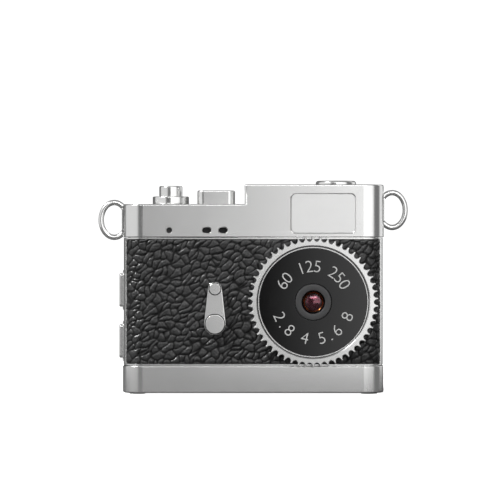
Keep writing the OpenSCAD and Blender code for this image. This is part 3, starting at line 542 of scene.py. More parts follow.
def block(low, high):
    """Plain box between two corners."""
    low, high = Vector(low), Vector(high)
    bm = bmesh.new()
    bmesh.ops.create_cube(bm, size=1)
    place = Matrix.Translation((low + high) / 2) @ Matrix.Diagonal((*(high - low), 1))
    bmesh.ops.transform(bm, matrix=place, verts=bm.verts)
    return bm


def round_edges(bm, edges, width, steps=4):
    bmesh.ops.bevel(bm, geom=edges, offset=width, segments=steps, profile=0.5, affect="EDGES", material=-1)


def edges_along(bm, axis, keep=lambda middle: True):
    """Edges that run along an axis and whose middles pass a test."""
    found = []
    for edge in bm.edges:
        run = (edge.verts[1].co - edge.verts[0].co).normalized()
        if abs(run[axis]) > 1 - NEAR and keep((edge.verts[0].co + edge.verts[1].co) / 2):
            found.append(edge)
    return found


def rim_edges(bm, axis, level):
    """Edges that lie at a level and bound a flat end there."""
    bm.normal_update()
    found = []
    for edge in bm.edges:
        if all(abs(v.co[axis] - level) < NEAR for v in edge.verts):
            flat = [abs(face.normal[axis]) > 0.999 for face in edge.link_faces]
            if len(flat) == 2 and flat[0] != flat[1]:
                found.append(edge)
    return found


def rounded_block(low, high, axis, corner, rims=(0, 0), steps=(12, 4)):
    """Box with its four edges along an axis rounded, and then the rims of its two ends."""
    bm = block(low, high)
    round_edges(bm, edges_along(bm, axis), corner, steps[0])
    for level, width in zip((low[axis], high[axis]), rims):
        if width:
            round_edges(bm, rim_edges(bm, axis, level), width, steps[1])
    return bm


def rod(start, end, start_r, end_r=None, steps=48):
    """Rod or cone between two points."""
    start, end = Vector(start), Vector(end)
    run = end - start
    bm = bmesh.new()
    bmesh.ops.create_cone(bm, cap_ends=True, segments=steps, radius1=start_r,
                          radius2=start_r if end_r is None else end_r, depth=run.length)
    turn = run.to_track_quat("Z", "Y").to_matrix().to_4x4()
    bmesh.ops.transform(bm, matrix=Matrix.Translation((start + end) / 2) @ turn, verts=bm.verts)
    return bm


def turned(profile, centre, axis, rim=0, rim_steps=3, steps=96, crease=30):
    """Solid spun from (radius, place along the axis) points. Rims sharper than the crease are rounded."""
    bm = bmesh.new()
    side = unit(X) if axis != X else unit(Z)
    verts = [bm.verts.new(Vector(centre) + side * r + unit(axis) * h) for r, h in profile]
    edges = [bm.edges.new(pair) for pair in zip(verts, verts[1:])]
    if profile[0][0] > NEAR:
        edges.append(bm.edges.new((verts[-1], verts[0])))
    bmesh.ops.spin(bm, geom=verts + edges, cent=centre, axis=unit(axis), angle=math.tau, steps=steps,
                   use_merge=True, use_duplicate=False)
    bmesh.ops.remove_doubles(bm, verts=bm.verts, dist=NEAR)
    bmesh.ops.recalc_face_normals(bm, faces=bm.faces)
    if rim:
        sharp = [e for e in bm.edges if e.is_manifold and e.calc_face_angle() > math.radians(crease)]
        round_edges(bm, sharp, rim, rim_steps)
    return bm


def flared(bm, axis, mouth, outward, chamfer):
    """Widens a cutter from just inside its mouth outwards, which chamfers the hole that it cuts."""
    inner = mouth - outward * chamfer
    for level in (mouth, inner):
        bmesh.ops.bisect_plane(bm, geom=bm.verts[:] + bm.edges[:] + bm.faces[:], plane_co=unit(axis) * level,
                               plane_no=unit(axis), dist=NEAR)
    lip = [v for v in bm.verts if (v.co[axis] - mouth) * outward > -NEAR]
    low = Vector([min(v.co[a] for v in bm.verts) for a in (X, Y, Z)])
    high = Vector([max(v.co[a] for v in bm.verts) for a in (X, Y, Z)])
    middle, half = (low + high) / 2, (high - low) / 2
    grow = Vector([1.0 if a == axis else (half[a] + chamfer) / half[a] for a in (X, Y, Z)])
    place = Matrix.Translation(middle) @ Matrix.Diagonal((*grow, 1)) @ Matrix.Translation(-middle)
    bmesh.ops.transform(bm, matrix=place, verts=lip)
    return bm


def loose(bm):
    """A temporary object that holds a bmesh."""
    mesh = bpy.data.meshes.new("loose")
    bm.to_mesh(mesh)
    bm.free()
    made = bpy.data.objects.new("loose", mesh)
    bpy.context.scene.collection.objects.link(made)
    return made


def carve(bm, tools, operation="DIFFERENCE"):
    """Cuts tools away from a solid, or joins them to it, and returns one clean solid."""
    body = loose(bm)
    used = [loose(tool) for tool in tools]
    for tool in used:
        cut = body.modifiers.new("Carve", "BOOLEAN")
        cut.operation, cut.solver, cut.object = operation, "EXACT", tool
    result = bmesh.new()
    result.from_object(body, bpy.context.evaluated_depsgraph_get())
    for spent in [body, *used]:
        mesh = spent.data
        bpy.data.objects.remove(spent)
        bpy.data.meshes.remove(mesh)
    if not result.faces:
        raise RuntimeError("a boolean left nothing")
    bmesh.ops.remove_doubles(result, verts=result.verts, dist=NEAR)
    bmesh.ops.dissolve_limit(result, angle_limit=math.radians(0.1), verts=result.verts, edges=result.edges)
    return result


def gather(bms):
    """Several closed solids in one bmesh."""
    whole = bmesh.new()
    for bm in bms:
        mesh = bpy.data.meshes.new("gather")
        bm.to_mesh(mesh)
        bm.free()
        whole.from_mesh(mesh)
        bpy.data.meshes.remove(mesh)
    return whole


def set_down(bm, name, body, finish, replaces=(), crease=38, weighted=True):
    """Scales a finished shape to metres and makes it a piece that rides on its body."""
    bmesh.ops.transform(bm, matrix=Matrix.Scale(MM, 4), verts=bm.verts)
    bm.normal_update()
    for face in bm.faces:
        face.smooth = True
    for edge in bm.edges:
        edge.smooth = edge.is_manifold and edge.calc_face_angle() < math.radians(crease)
    mesh = bpy.data.meshes.new(name)
    bm.to_mesh(mesh)
    bm.free()
    piece = bpy.data.objects.new(name, mesh)
    bpy.context.scene.collection.objects.link(piece)
    mesh.materials.append(finish.material)
    if weighted:
        even = piece.modifiers.new("Even shading", "WEIGHTED_NORMAL")
        even.keep_sharp = True
    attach(piece, body)
    if replaces:
        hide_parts(*replaces)
    return piece


# ---- leatherette ----

def nearest_cells(u, v, seed):
    """Distances to the nearest and second nearest scattered points, and a number for the nearest cell."""
    repeat = 64
    table = np.random.RandomState(seed).rand(repeat, repeat, 3)
    first, second = np.full(u.shape, 9.0), np.full(u.shape, 9.0)
    mark = np.zeros(u.shape)
    base_u, base_v = np.floor(u).astype(int), np.floor(v).astype(int)
    for du in (-1, 0, 1):
        for dv in (-1, 0, 1):
            cu, cv = base_u + du, base_v + dv
            point = table[cu % repeat, cv % repeat]
            far = np.hypot(cu + point[..., 0] - u, cv + point[..., 1] - v)
            closer = far < first
            second = np.where(closer, first, np.minimum(second, far))
            mark = np.where(closer, point[..., 2], mark)
            first = np.where(closer, far, first)
    return first, second, mark


def smooth(value, low, high):
    """An even rise from 0 at the low value to 1 at the high one."""
    t = np.clip((value - low) / (high - low), 0, 1)
    return t * t * (3 - 2 * t)


def grain_height(s, z, look, seed):
    """Leather grain from 0 in the creases to 1 on the pebbles, over distances in millimetres."""
    cell = look.cell / MM
    # Slow waves keep the rows of pebbles from running straight
    bend_s = s + 0.35 * np.sin(z * 0.9 + 1.3) + 0.18 * np.sin(z * 2.3 + s * 0.7)
    bend_z = z + 0.35 * np.sin(s * 0.8 + 0.4) + 0.18 * np.sin(s * 2.1 - z * 0.6)
    lean_c, lean_s = math.cos(look.lean), math.sin(look.lean)
    along = (bend_s * lean_c + bend_z * lean_s) / (cell * look.stretch)
    across = (bend_z * lean_c - bend_s * lean_s) / cell
    first, second, mark = nearest_cells(along, across, seed)
    pebble = smooth(second - first, 0.0, 0.3) * (1 - 0.5 * first ** 2) * (0.75 + 0.25 * mark)
    # Finer folds on the pebbles, from cells about half as large
    first, second, mark = nearest_cells(along * 2.3 + 7.1, across * 2.1 + 3.7, seed + 1)
    wrinkle = smooth(second - first, 0.0, 0.4) * (0.7 + 0.3 * mark)
    return pebble * (0.72 + 0.28 * wrinkle)


class Band:
    """The leatherette's path round the shell: a straight run with a round corner at each end."""

    def __init__(self, half_width, half_depth, corner, end_depth, facing):
        self.run = half_width - corner
        self.corner = corner
        self.half_depth = half_depth
        self.facing = facing
        turn = math.acos((end_depth - half_depth + corner) / corner)
        self.half_length = self.run + corner * turn

    def bent(self, s, out, z):
        """Place of a point at s along the path, out from the face and up at z."""
        past = max(abs(s) - self.run, 0)
        angle = past / self.corner
        x = math.copysign(min(abs(s), self.run) + (self.corner + out) * math.sin(angle), s)
        y = self.half_depth - self.corner + (self.corner + out) * math.cos(angle)
        return Vector((x, self.facing * y, z))


class Opening:
    """An upright rounded rectangle, or a circle when its corner is as large as its half sizes."""

    def __init__(self, x, z, half_x, half_z, corner):
        self.x, self.z, self.corner = x, z, corner
        self.inner_x, self.inner_z = half_x - corner, half_z - corner

    def gap(self, x, z):
        """Distance outside the edge, negative inside."""
        over_x, over_z = abs(x - self.x) - self.inner_x, abs(z - self.z) - self.inner_z
        outside = math.hypot(max(over_x, 0), max(over_z, 0))
        return outside + min(max(over_x, over_z), 0) - self.corner

    def edge(self, x, z):
        """Nearest point on the edge."""
        step = 1e-3
        far = self.gap(x, z)
        slope_x = (self.gap(x + step, z) - far) / step
        slope_z = (self.gap(x, z + step) - far) / step
        return x - slope_x * far, z - slope_z * far


def leather_sheet(low, high, band, look, openings, seed):
    """One grained sheet: a fine grid with its holes cut, thickened, bent round the shell and embossed."""
    length, rise = 2 * band.half_length, high - low
    pitch = look.pitch / MM
    margin, pressed_share, sunk = 0.45, 0.35, 0.72
    bm = bmesh.new()
    grain = bm.verts.layers.float.new("grain")
    bmesh.ops.create_grid(bm, x_segments=round(length / pitch), y_segments=round(rise / pitch), size=0.5)
    upright = Matrix.Translation((0, 0, (low + high) / 2)) @ Matrix.Rotation(math.pi / 2, 4, "X")
    bmesh.ops.transform(bm, matrix=upright @ Matrix.Diagonal((length, rise, 1, 1)), verts=bm.verts)
    for opening in openings:
        gone = [f for f in bm.faces if opening.gap(*f.calc_center_median().xz) < 0]
        bmesh.ops.delete(bm, geom=gone, context="FACES")
        for vert in bm.verts:
            if vert.is_boundary and abs(opening.gap(*vert.co.xz)) < 1.5 * pitch:
                vert.co.x, vert.co.z = opening.edge(*vert.co.xz)
    made = bmesh.ops.extrude_face_region(bm, geom=bm.faces[:], use_keep_orig=True)["geom"]
    for vert in made:
        if isinstance(vert, bmesh.types.BMVert):
            vert.co.y = 1
    verts = bm.verts[:]
    s, deep, z = np.array([v.co for v in verts]).T
    level = grain_height(s, z, look, seed)
    edge = np.minimum(np.minimum(band.half_length - np.abs(s), z - low), high - z)
    pressed = pressed_share + (1 - pressed_share) * smooth(edge, 0.0, margin)
    out = np.where(deep > 0.5, -look.sheet / MM, (level * pressed - sunk) * look.depth / MM)
    for vert, height, lift in zip(verts, level, out):
        vert[grain] = float(height)
        vert.co = band.bent(vert.co.x, float(lift), vert.co.z)
    bmesh.ops.recalc_face_normals(bm, faces=bm.faces)
    return bm


# ---- looks of each material slot ----

def colour(value):
    return tuple(value)


def plated():
    return bpy.context.scene.minicam_plating


def lens_look():
    return bpy.context.scene.minicam_lens


MAKERS = {
    "plated_cover": lambda: plating("plated_cover", colour(plated().cover), plated().satin),
    "plated_shell": lambda: plating("plated_shell", colour(plated().shell), plated().satin + 0.04),
    "turned_metal": lambda: plating("turned_metal", colour(plated().turned), plated().satin - 0.02),
    "plated_key": lambda: plating("plated_key", colour(plated().turned), plated().bright),
    "leatherette": lambda: leather(bpy.context.scene.minicam_leather),
    "black_panel": gloss_black,
    "barrel_black": anodised,
    "coated_glass": lambda: coated_glass("coated_glass", (0.9, 0.9, 0.92)),
    "filter_glass": filter_film,
    "black_plastic": lambda: moulded("black_plastic", (0.012, 0.012, 0.013), 0.45),
    "white_plastic": lambda: moulded("white_plastic", (0.72, 0.72, 0.7), 0.4),
    "circuit_board": circuit_board,
    "chip": lambda: moulded("chip_epoxy", (0.014, 0.014, 0.015), 0.55, 14.0),
    "connector": lambda: moulded("natural_nylon", (0.56, 0.5, 0.36), 0.42),
    "steel": lambda: brushed("plain_steel", (0.56, 0.56, 0.57), 0.26),
    "brass": lambda: brushed("turned_brass", (0.72, 0.5, 0.2), 0.24),
    "battery_wrap": wrapped,
    "wire": lambda: moulded("red_insulation", (0.45, 0.02, 0.015), 0.4, 5.0),
    "flex": lambda: moulded("amber_film", (0.5, 0.22, 0.04), 0.3, 3.0),
    "cloth": lambda: woven("speaker_mesh", (0.02, 0.02, 0.02)),
    "pad": lambda: moulded("grey_silicone", (0.06, 0.06, 0.06), 0.6, 6.0, 6.0),
    "display": lambda: moulded("display_panel", (0.008, 0.009, 0.011), 0.12, 2.0, 1.0),
    "window": lambda: display_glass(Span("display_module")),
    "printed": printed_white,
    # Painted shade: near-black finish of the rings set in the lever's grooves to darken them
    "groove": lambda: moulded("painted_groove_shade", (0.02, 0.02, 0.02), 0.7),
    "finder": lambda: plating("finder_plate", colour(plated().cover), plated().satin + 0.1),
    "front_coating": lambda: coating("front_coating", colour(lens_look().front_coat), 0.15),
    "back_coating": lambda: coating("back_coating", colour(lens_look().back_coat), 0.4),
}
MADE = {}


def finish_for(look):
    """The finish of a material slot or of one special piece, made once."""
    if look not in MADE:
        MADE[look] = MAKERS[look]()
    return MADE[look]


# ---- pieces ----

def carved_top():
    """The top cover: two decks, hollow, with the mouths of its holes chamfered."""
    sizes = bpy.context.scene.minicam_cover
    corner, wall, rim, chamfer = (v / MM for v in (sizes.corner, sizes.wall, sizes.rim, sizes.hole_rim))
    span, mode, collar = Span("top_cover"), Span("mode_key"), Span("shutter_collar")
    power, finder = Span("power_button"), Span("viewfinder_plate")
    mic, cloth = Span("microphone"), Span("speaker_cloth")
    low, high = span.low, span.high
    step_x, deck = low.x + sizes.step_in / MM, high.z - sizes.step_rise / MM
    body = rounded_block(low, (high.x, high.y, deck), Z, corner, (sizes.seam / MM, rim))
    raised = block((step_x, low.y, deck - DEEP - PAST), high)
    round_edges(raised, edges_along(raised, Z, lambda m: m.x > 0), corner, steps=12)
    round_edges(raised, edges_along(raised, Z, lambda m: m.x < 0), sizes.step_corner / MM, steps=5)
    round_edges(raised, rim_edges(raised, Z, high.z), rim)
    body = carve(body, [raised], "UNION")
    inset = Vector((wall, wall, 0))
    raised_inner_corner = 1.5
    tools = [
        rounded_block(low + inset - unit(Z) * PAST, (high.x - wall, high.y - wall, deck - wall), Z,
                      corner - wall),
        rounded_block((step_x + wall, low.y + wall, low.z - PAST), high - inset - unit(Z) * wall, Z,
                      raised_inner_corner),
        rod((collar.mid.x, 0, deck - DEEP), (collar.mid.x, 0, deck + PAST), PLUG_R, steps=96),
    ]
    half_w, half_d = MODE_SIZE[0] / 2 + GAP, MODE_SIZE[1] / 2 + GAP
    slot = rounded_block((mode.mid.x - half_w, -half_d, deck - DEEP),
                         (mode.mid.x + half_w, half_d, deck + PAST), Z,
                         bpy.context.scene.minicam_keys.mode_corner / MM + GAP)
    tools.append(flared(slot, Z, deck, 1, chamfer))
    well = rod((power.mid.x, 0, high.z - DEEP), (power.mid.x, 0, high.z + PAST), POWER_R + GAP, steps=96)
    tools.append(flared(well, Z, high.z, 1, chamfer))
    face, inside = low.y - PAST, low.y + 2 * wall
    hole = rod((mic.mid.x, face, mic.mid.z), (mic.mid.x, inside, mic.mid.z), MIC_R, steps=32)
    tools.append(flared(hole, Y, low.y, -1, chamfer))
    half = Vector((SLOT_SIZE[0] / 2, 0, SLOT_SIZE[1] / 2))
    for x in SLOTS_IN:
        middle = Vector((cloth.low.x + x, 0, mic.mid.z))
        cut = rounded_block(middle + unit(Y) * face - half, middle + unit(Y) * inside + half, Y,
                            half.z - HAIR)
        tools.append(flared(cut, Y, low.y, -1, chamfer))
    recess = rounded_block((finder.low.x, face, finder.low.z), finder.high, Y, FINDER_CORNER)
    tools.append(flared(recess, Y, low.y, -1, chamfer))
    return carve(body, tools)


def carved_base():
    """The base cover: a hollow cup with seats for the feet and recesses for the screws."""
    sizes = bpy.context.scene.minicam_cover
    corner, wall = sizes.corner / MM, sizes.wall / MM
    span = Span("base_cover")
    body = rounded_block(span.low, span.high, Z, corner, (sizes.rim / MM, sizes.seam / MM))
    tools = [rounded_block(span.low + Vector((wall, wall, BASE_FLOOR)),
                           span.high + Vector((-wall, -wall, PAST)), Z, corner - wall)]
    for x in (-1, 1):
        for y in (-1, 1):
            foot, screw = (Vector((x * place[0], y * place[1], 0)) for place in (FOOT_PLACE, SCREW_PLACE))
            seat = rod(foot - unit(Z) * PAST, foot + unit(Z) * FOOT_SEAT_DEEP, FOOT_SEAT_R)
            recess = rod(screw - unit(Z) * PAST, screw + unit(Z) * SCREW_HEAD_DEEP, SCREW_HEAD_R)
            tools.append(flared(seat, Z, 0, -1, 0.08))
            tools.append(flared(recess, Z, 0, -1, 0.12))
            tools.append(rod(screw - unit(Z) * PAST, screw + unit(Z) * DEEP, SCREW_R))
    return carve(body, tools)


class Covers(bpy.types.Operator):
    """Makes the plated top cover with its two decks and holes, and the base cover"""
    bl_idname = "minicam.covers"
    bl_label = "Plated covers"

    def execute(self, context):
        finish = finish_for("plated_cover")
        set_down(carved_top(), "plated_top_cover", CASE, finish, ["top_cover"])
        set_down(carved_base(), "plated_base_cover", CASE, finish, ["base_cover"])
        return {"FINISHED"}


def softened(node, name, slot, width, angle=35, segments=2):
    """A copy of a CAD node with its sharp edges slightly rounded, if a width is given."""
    bm = bmesh.new()
    bm.from_mesh(frame["nodes"][node].data)
    bmesh.ops.transform(bm, matrix=Matrix.Scale(1 / MM, 4), verts=bm.verts)
    bmesh.ops.remove_doubles(bm, verts=bm.verts, dist=NEAR)
    bmesh.ops.dissolve_limit(bm, angle_limit=math.radians(0.3), verts=bm.verts, edges=bm.edges)
    body = frame["nodes"][node]["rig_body"]
    piece = set_down(bm, name, body, finish_for(slot), [node], weighted=False)
    if width:
        soft = piece.modifiers.new("Soft edges", "BEVEL")
        soft.width, soft.segments, soft.limit_method = width * MM, segments, "ANGLE"
        soft.angle_limit, soft.harden_normals = math.radians(angle), True
    return piece


class Shells(bpy.types.Operator):
    """Softens the moulded shells' edges beside the leatherette and round the side keys"""
    bl_idname = "minicam.shells"
    bl_label = "Shell edges"

    def execute(self, context):
        for place in ("front", "rear"):
            softened(f"{place}_shell", f"plated_{place}_shell", "plated_shell", 0.07)
        return {"FINISHED"}


class Leatherette(bpy.types.Operator):
    """Makes the two sheets of pebbled leatherette"""
    bl_idname = "minicam.leatherette"
    bl_label = "Leatherette"

    def execute(self, context):
        look = context.scene.minicam_leather
        ring, lever, window = Span("toothed_ring"), Span("lever_bush"), Span("display_window")
        half_w, half_h = (side / 2 + GAP / 2 for side in (window.size.x, window.size.z))
        front_holes = [Opening(ring.mid.x, ring.mid.z, SLEEVE_R, SLEEVE_R, SLEEVE_R),
                       Opening(lever.mid.x, lever.mid.z, BUSH_R, BUSH_R, BUSH_R)]
        rear_holes = [Opening(window.mid.x, window.mid.z, half_w, half_h, WINDOW_HOLE_CORNER)]
        for place, facing, holes, seed in (("front", -1, front_holes, 11), ("rear", 1, rear_holes, 18)):
            node = f"{place}_leatherette"
            span = Span(node)
            band = Band(half_width=25.55, half_depth=6.8, corner=3.95, end_depth=4.6, facing=facing)
            bm = leather_sheet(span.low.z, span.high.z, band, look, holes, seed)
            set_down(bm, f"pebbled_{node}", CASE, finish_for("leatherette"), [node],
                     crease=60, weighted=False)
        return {"FINISHED"}


def gullet_rim(sizes, ring, level, inset):
    """One closed loop of verts along the teeth: round gullets between narrow tips."""
    tip, wide = ring.size.x / 2, sizes.gullet
    steps, shoulder = 10, 0.06
    half_tip = (1 - wide) / 2
    shape = [(-half_tip, shoulder), (-half_tip / 2, 0.0), (half_tip / 2, 0.0), (half_tip, shoulder)]
    for i in range(1, steps):
        u = -math.cos(math.pi * i / steps)
        shape.append((0.5 + u * wide / 2, shoulder + (sizes.depth / MM - shoulder) * math.sqrt(1 - u * u)))
    phase = [(tooth + place) * math.tau / sizes.teeth for tooth in range(sizes.teeth) for place, _ in shape]
    radius = np.tile([tip - drop for _, drop in shape], sizes.teeth)
    flat = np.stack((radius * np.sin(phase), radius * np.cos(phase)), 1)
    along = np.roll(flat, -1, 0) - np.roll(flat, 1, 0)
    inward = np.stack((along[:, 1], -along[:, 0]), 1)
    inward *= -np.sign((inward * flat).sum(1).mean()) / np.linalg.norm(inward, axis=1)[:, None]
    flat = flat + inward * inset
    return [Vector((ring.mid.x + x, level, ring.mid.z + z)) for x, z in flat]


def lofted(loops):
    """A solid through loops of equally many verts, the last one joined to the first."""
    bm = bmesh.new()
    count = len(loops[0])
    rows = []
    for places in loops:
        verts = bmesh.ops.create_circle(bm, segments=count, radius=1, cap_ends=False)["verts"]
        for vert, place in zip(verts, places):
            vert.co = place
        held = set(verts)
        rows.append([e for e in bm.edges if e.verts[0] in held and e.verts[1] in held])
    for first, second in zip(rows, rows[1:] + rows[:1]):
        bmesh.ops.bridge_loops(bm, edges=first + second)
    bmesh.ops.recalc_face_normals(bm, faces=bm.faces)
    return bm


def circle_rim(ring, radius, level, places):
    """Verts on a circle, each at the same angle as its partner on the teeth."""
    loop = []
    for place in places:
        aside, up = place.x - ring.mid.x, place.z - ring.mid.z
        far = math.hypot(aside, up)
        loop.append(Vector((ring.mid.x + radius * aside / far, level, ring.mid.z + radius * up / far)))
    return loop


class ToothedRing(bpy.types.Operator):
    """Makes the ring with round gullets between its teeth"""
    bl_idname = "minicam.toothed_ring"
    bl_label = "Toothed ring"

    def execute(self, context):
        sizes = context.scene.minicam_ring
        ring = Span("toothed_ring")
        front, back, rim = ring.low.y, ring.high.y, sizes.rim / MM
        face, bore, chamfer = sizes.face / MM, sizes.bore / MM, sizes.chamfer / MM
        ledge = back - sizes.flange / MM
        outer = gullet_rim(sizes, ring, back - rim, 0)
        loops = [
            gullet_rim(sizes, ring, back, rim), outer, gullet_rim(sizes, ring, front + rim, 0),
            gullet_rim(sizes, ring, front, rim),
            circle_rim(ring, face + chamfer, front, outer), circle_rim(ring, face, front + chamfer, outer),
            circle_rim(ring, face, ledge, outer), circle_rim(ring, bore, ledge, outer),
            circle_rim(ring, bore, back, outer),
        ]
        set_down(lofted(loops), "turned_toothed_ring", "ring", finish_for("turned_metal"),
                 ["toothed_ring"], crease=30)
        return {"FINISHED"}


def figure(letter, dial):
    """One printed figure as a thin solid in the XY plane, centred on its own width."""
    curve = bpy.data.curves.new("figure", "FONT")
    curve.body = letter
    curve.align_x = "CENTER"
    figure_share = 0.73
    curve.size = dial.height / MM / figure_share
    curve.offset = -dial.thin / MM
    curve.extrude = dial.paint / MM / 2
    holder = bpy.data.objects.new("figure", curve)
    bpy.context.scene.collection.objects.link(holder)
    mesh = bpy.data.meshes.new_from_object(holder.evaluated_get(bpy.context.evaluated_depsgraph_get()))
    bm = bmesh.new()
    bm.from_mesh(mesh)
    bpy.data.objects.remove(holder)
    bpy.data.curves.remove(curve)
    bpy.data.meshes.remove(mesh)
    bmesh.ops.remove_doubles(bm, verts=bm.verts, dist=NEAR)
    return bm


class LensPanel(bpy.types.Operator):
    """Makes the glossy panel and the figures printed round it"""
    bl_idname = "minicam.lens_panel"
    bl_label = "Lens panel and figures"

    def execute(self, context):
        dial, panel = context.scene.minicam_dial, Span("lens_panel")
        front, back, rear = panel.low.y, panel.low.y + PANEL_THICK, panel.high.y
        hole, outer = Span("lens_barrel").size.x / 2 + GAP, panel.size.x / 2
        profile = [(hole, back), (hole, front), (outer, front), (outer, back), (PANEL_COLLAR_R, back),
                   (PANEL_COLLAR_R, rear), (PANEL_COLLAR_BORE, rear), (PANEL_COLLAR_BORE, back)]
        bm = turned(profile, (panel.mid.x, 0, panel.mid.z), Y, 0.06, steps=128)
        set_down(bm, "glossy_lens_panel", CASE, finish_for("black_panel"), ["lens_panel"])
        figures = []
        radius, height, paint = dial.radius / MM, dial.height / MM, dial.paint / MM
        for row, middle, way in ((dial.upper, 0.0, 1), (dial.lower, math.pi, -1)):
            for i, letter in enumerate(row):
                if letter == " ":
                    continue
                turn = (i - (len(row) - 1) / 2) * dial.pitch * way + middle
                spot = Vector((panel.mid.x + radius * math.sin(turn), front - paint / 2,
                               panel.mid.z + radius * math.cos(turn)))
                upright = Matrix.Rotation(turn - middle, 4, "Y") @ Matrix.Rotation(math.pi / 2, 4, "X")
                bm = figure(letter, dial)
                place = Matrix.Translation(spot) @ upright @ Matrix.Translation((0, -height / 2, 0))
                bmesh.ops.transform(bm, matrix=place, verts=bm.verts)
                figures.append(bm)
        set_down(gather(figures), "printed_dial_figures", CASE, finish_for("printed"),
                 weighted=False)
        return {"FINISHED"}


def dome(radius, reach, apex, steps=14):
    """Profile points of a spherical cap, rim to apex. A negative radius bends it the other way."""
    rise = abs(radius) - math.sqrt(radius ** 2 - reach ** 2)
    points = []
    for i in range(steps, -1, -1):
        r = reach * i / steps
        sag = (abs(radius) - math.sqrt(radius ** 2 - r ** 2)) * math.copysign(1, radius)
        points.append((r, apex + sag))
    return points


class Lens(bpy.types.Operator):
    """Makes the barrel, the front glass and the coated surfaces behind it"""
    bl_idname = "minicam.lens"
    bl_label = "Lens"

    def execute(self, context):
        barrel, glass = Span("lens_barrel"), Span("front_lens")
        centre = (barrel.mid.x, 0, barrel.mid.z)
        opening, outer = context.scene.minicam_lens.opening / MM, barrel.size.x / 2
        front, back, seat = barrel.low.y, barrel.high.y, glass.high.y
        profile = [(outer, front), (outer, back), (BARREL_BORE, back), (BARREL_BORE, BARREL_STOP_Y),
                   (BARREL_STOP_R, BARREL_STOP_Y), (BARREL_STOP_R, seat), (opening, seat), (opening, front)]
        bm = turned(profile, centre, Y, 0.07, steps=128)
        set_down(bm, "anodised_lens_barrel", CASE, finish_for("barrel_black"),
                 ["lens_barrel"])
        thin, bowl = 0.02, 4.0
        reach = opening - thin
        bm = turned(dome(bowl, reach, glass.low.y)[::-1] + [(reach, seat), (0, seat)], centre, Y)
        set_down(bm, "clear_front_lens", CASE, finish_for("coated_glass"), ["front_lens"],
                 crease=50)
        inner = reach - 0.35
        for name, radius, behind in (("front_coating", 3.6, 0.25), ("back_coating", -3.2, 1.15)):
            arc = dome(radius, inner, glass.low.y + behind)[::-1]
            bm = turned(arc + [(r, y + thin) for r, y in reversed(arc)], centre, Y)
            set_down(bm, f"lens_{name}", CASE, finish_for(name), crease=60, weighted=False)
        return {"FINISHED"}


def tube(inner, outer, start, end):
    """Profile of a ring, or of a disc when the inner radius is 0, between two places along its axis."""
    return [(inner, start), (outer, start), (outer, end), (inner, end)]


class Lever(bpy.types.Operator):
    """Makes the lever: a tapered arm with a raised disc at each end"""
    bl_idname = "minicam.lever"
    bl_label = "Lever"

    def execute(self, context):
        keys, lever, pin = context.scene.minicam_keys, Span("lever_arm"), Span("lever_pin")
        tip, pivot, rim = keys.lever_tip / MM, keys.lever_pivot / MM, keys.lever_rim / MM
        low_z, high_z = lever.low.z + pivot, lever.high.z - tip
        face = lever.low.y + LEVER_STEP
        x = lever.mid.x
        arm = gather([rod((x, face, low_z), (x, lever.high.y, low_z), pivot, steps=72),
                      rod((x, face, high_z), (x, lever.high.y, high_z), tip, steps=48)])
        hull = bmesh.ops.convex_hull(arm, input=arm.verts)
        spare = {g for g in hull["geom_interior"] + hull["geom_unused"] if g.is_valid}
        bmesh.ops.delete(arm, geom=[g for g in spare if isinstance(g, bmesh.types.BMVert)], context="VERTS")
        outer = {g for g in hull["geom"] if isinstance(g, bmesh.types.BMFace) and g.is_valid}
        bmesh.ops.delete(arm, geom=[f for f in arm.faces if f not in outer], context="FACES_ONLY")
        bmesh.ops.dissolve_limit(arm, angle_limit=math.radians(0.5), verts=arm.verts, edges=arm.edges)
        bmesh.ops.recalc_face_normals(arm, faces=arm.faces)
        round_edges(arm, rim_edges(arm, Y, face), rim, 3)
        discs, grooves, shade_fills = [], [], []
        for radius, z, top in ((pivot, low_z, lever.low.y), (tip, high_z, face - 0.1)):
            centre, outer = (x, 0, z), radius - 0.1
            discs.append(turned(tube(0, radius - LEVER_EDGE, top, face + 0.3), centre, Y, 0.1))
            grooves.append(turned(tube(outer - 0.22, outer, face - PAST, face + 0.25), centre, Y))
            # Painted shade: a dark ring set low in each groove darkens the crescent where the disc meets the
            # arm
            shade_fills.append(turned(tube(outer - 0.2, outer - 0.01, face + 0.08, face + 0.2), centre, Y))
        bore = rod((x, pin.low.y, low_z), (x, lever.high.y + PAST, low_z), LEVER_PIN_R)
        bm = carve(carve(carve(arm, grooves), discs, "UNION"), [bore])
        set_down(bm, "plated_lever", "lever", finish_for("turned_metal"), ["lever_arm"])
        set_down(gather(shade_fills), "lever_groove_painted_shade", "lever", finish_for("groove"))
        return {"FINISHED"}


def round_key(key, flange, radius, bevel=0):
    """Profile of a round key on its stem, with the flange that holds it under a deck."""
    wide, under = key.size.x / 2, flange - FLANGE_THICK
    top = [(radius - bevel, key.high.z)] if bevel else []
    return [(0, key.low.z), (STEM_R, key.low.z), (STEM_R, under), (wide, under), (wide, flange),
            (radius, flange), (radius, key.high.z - bevel), *top, (0, key.high.z)]


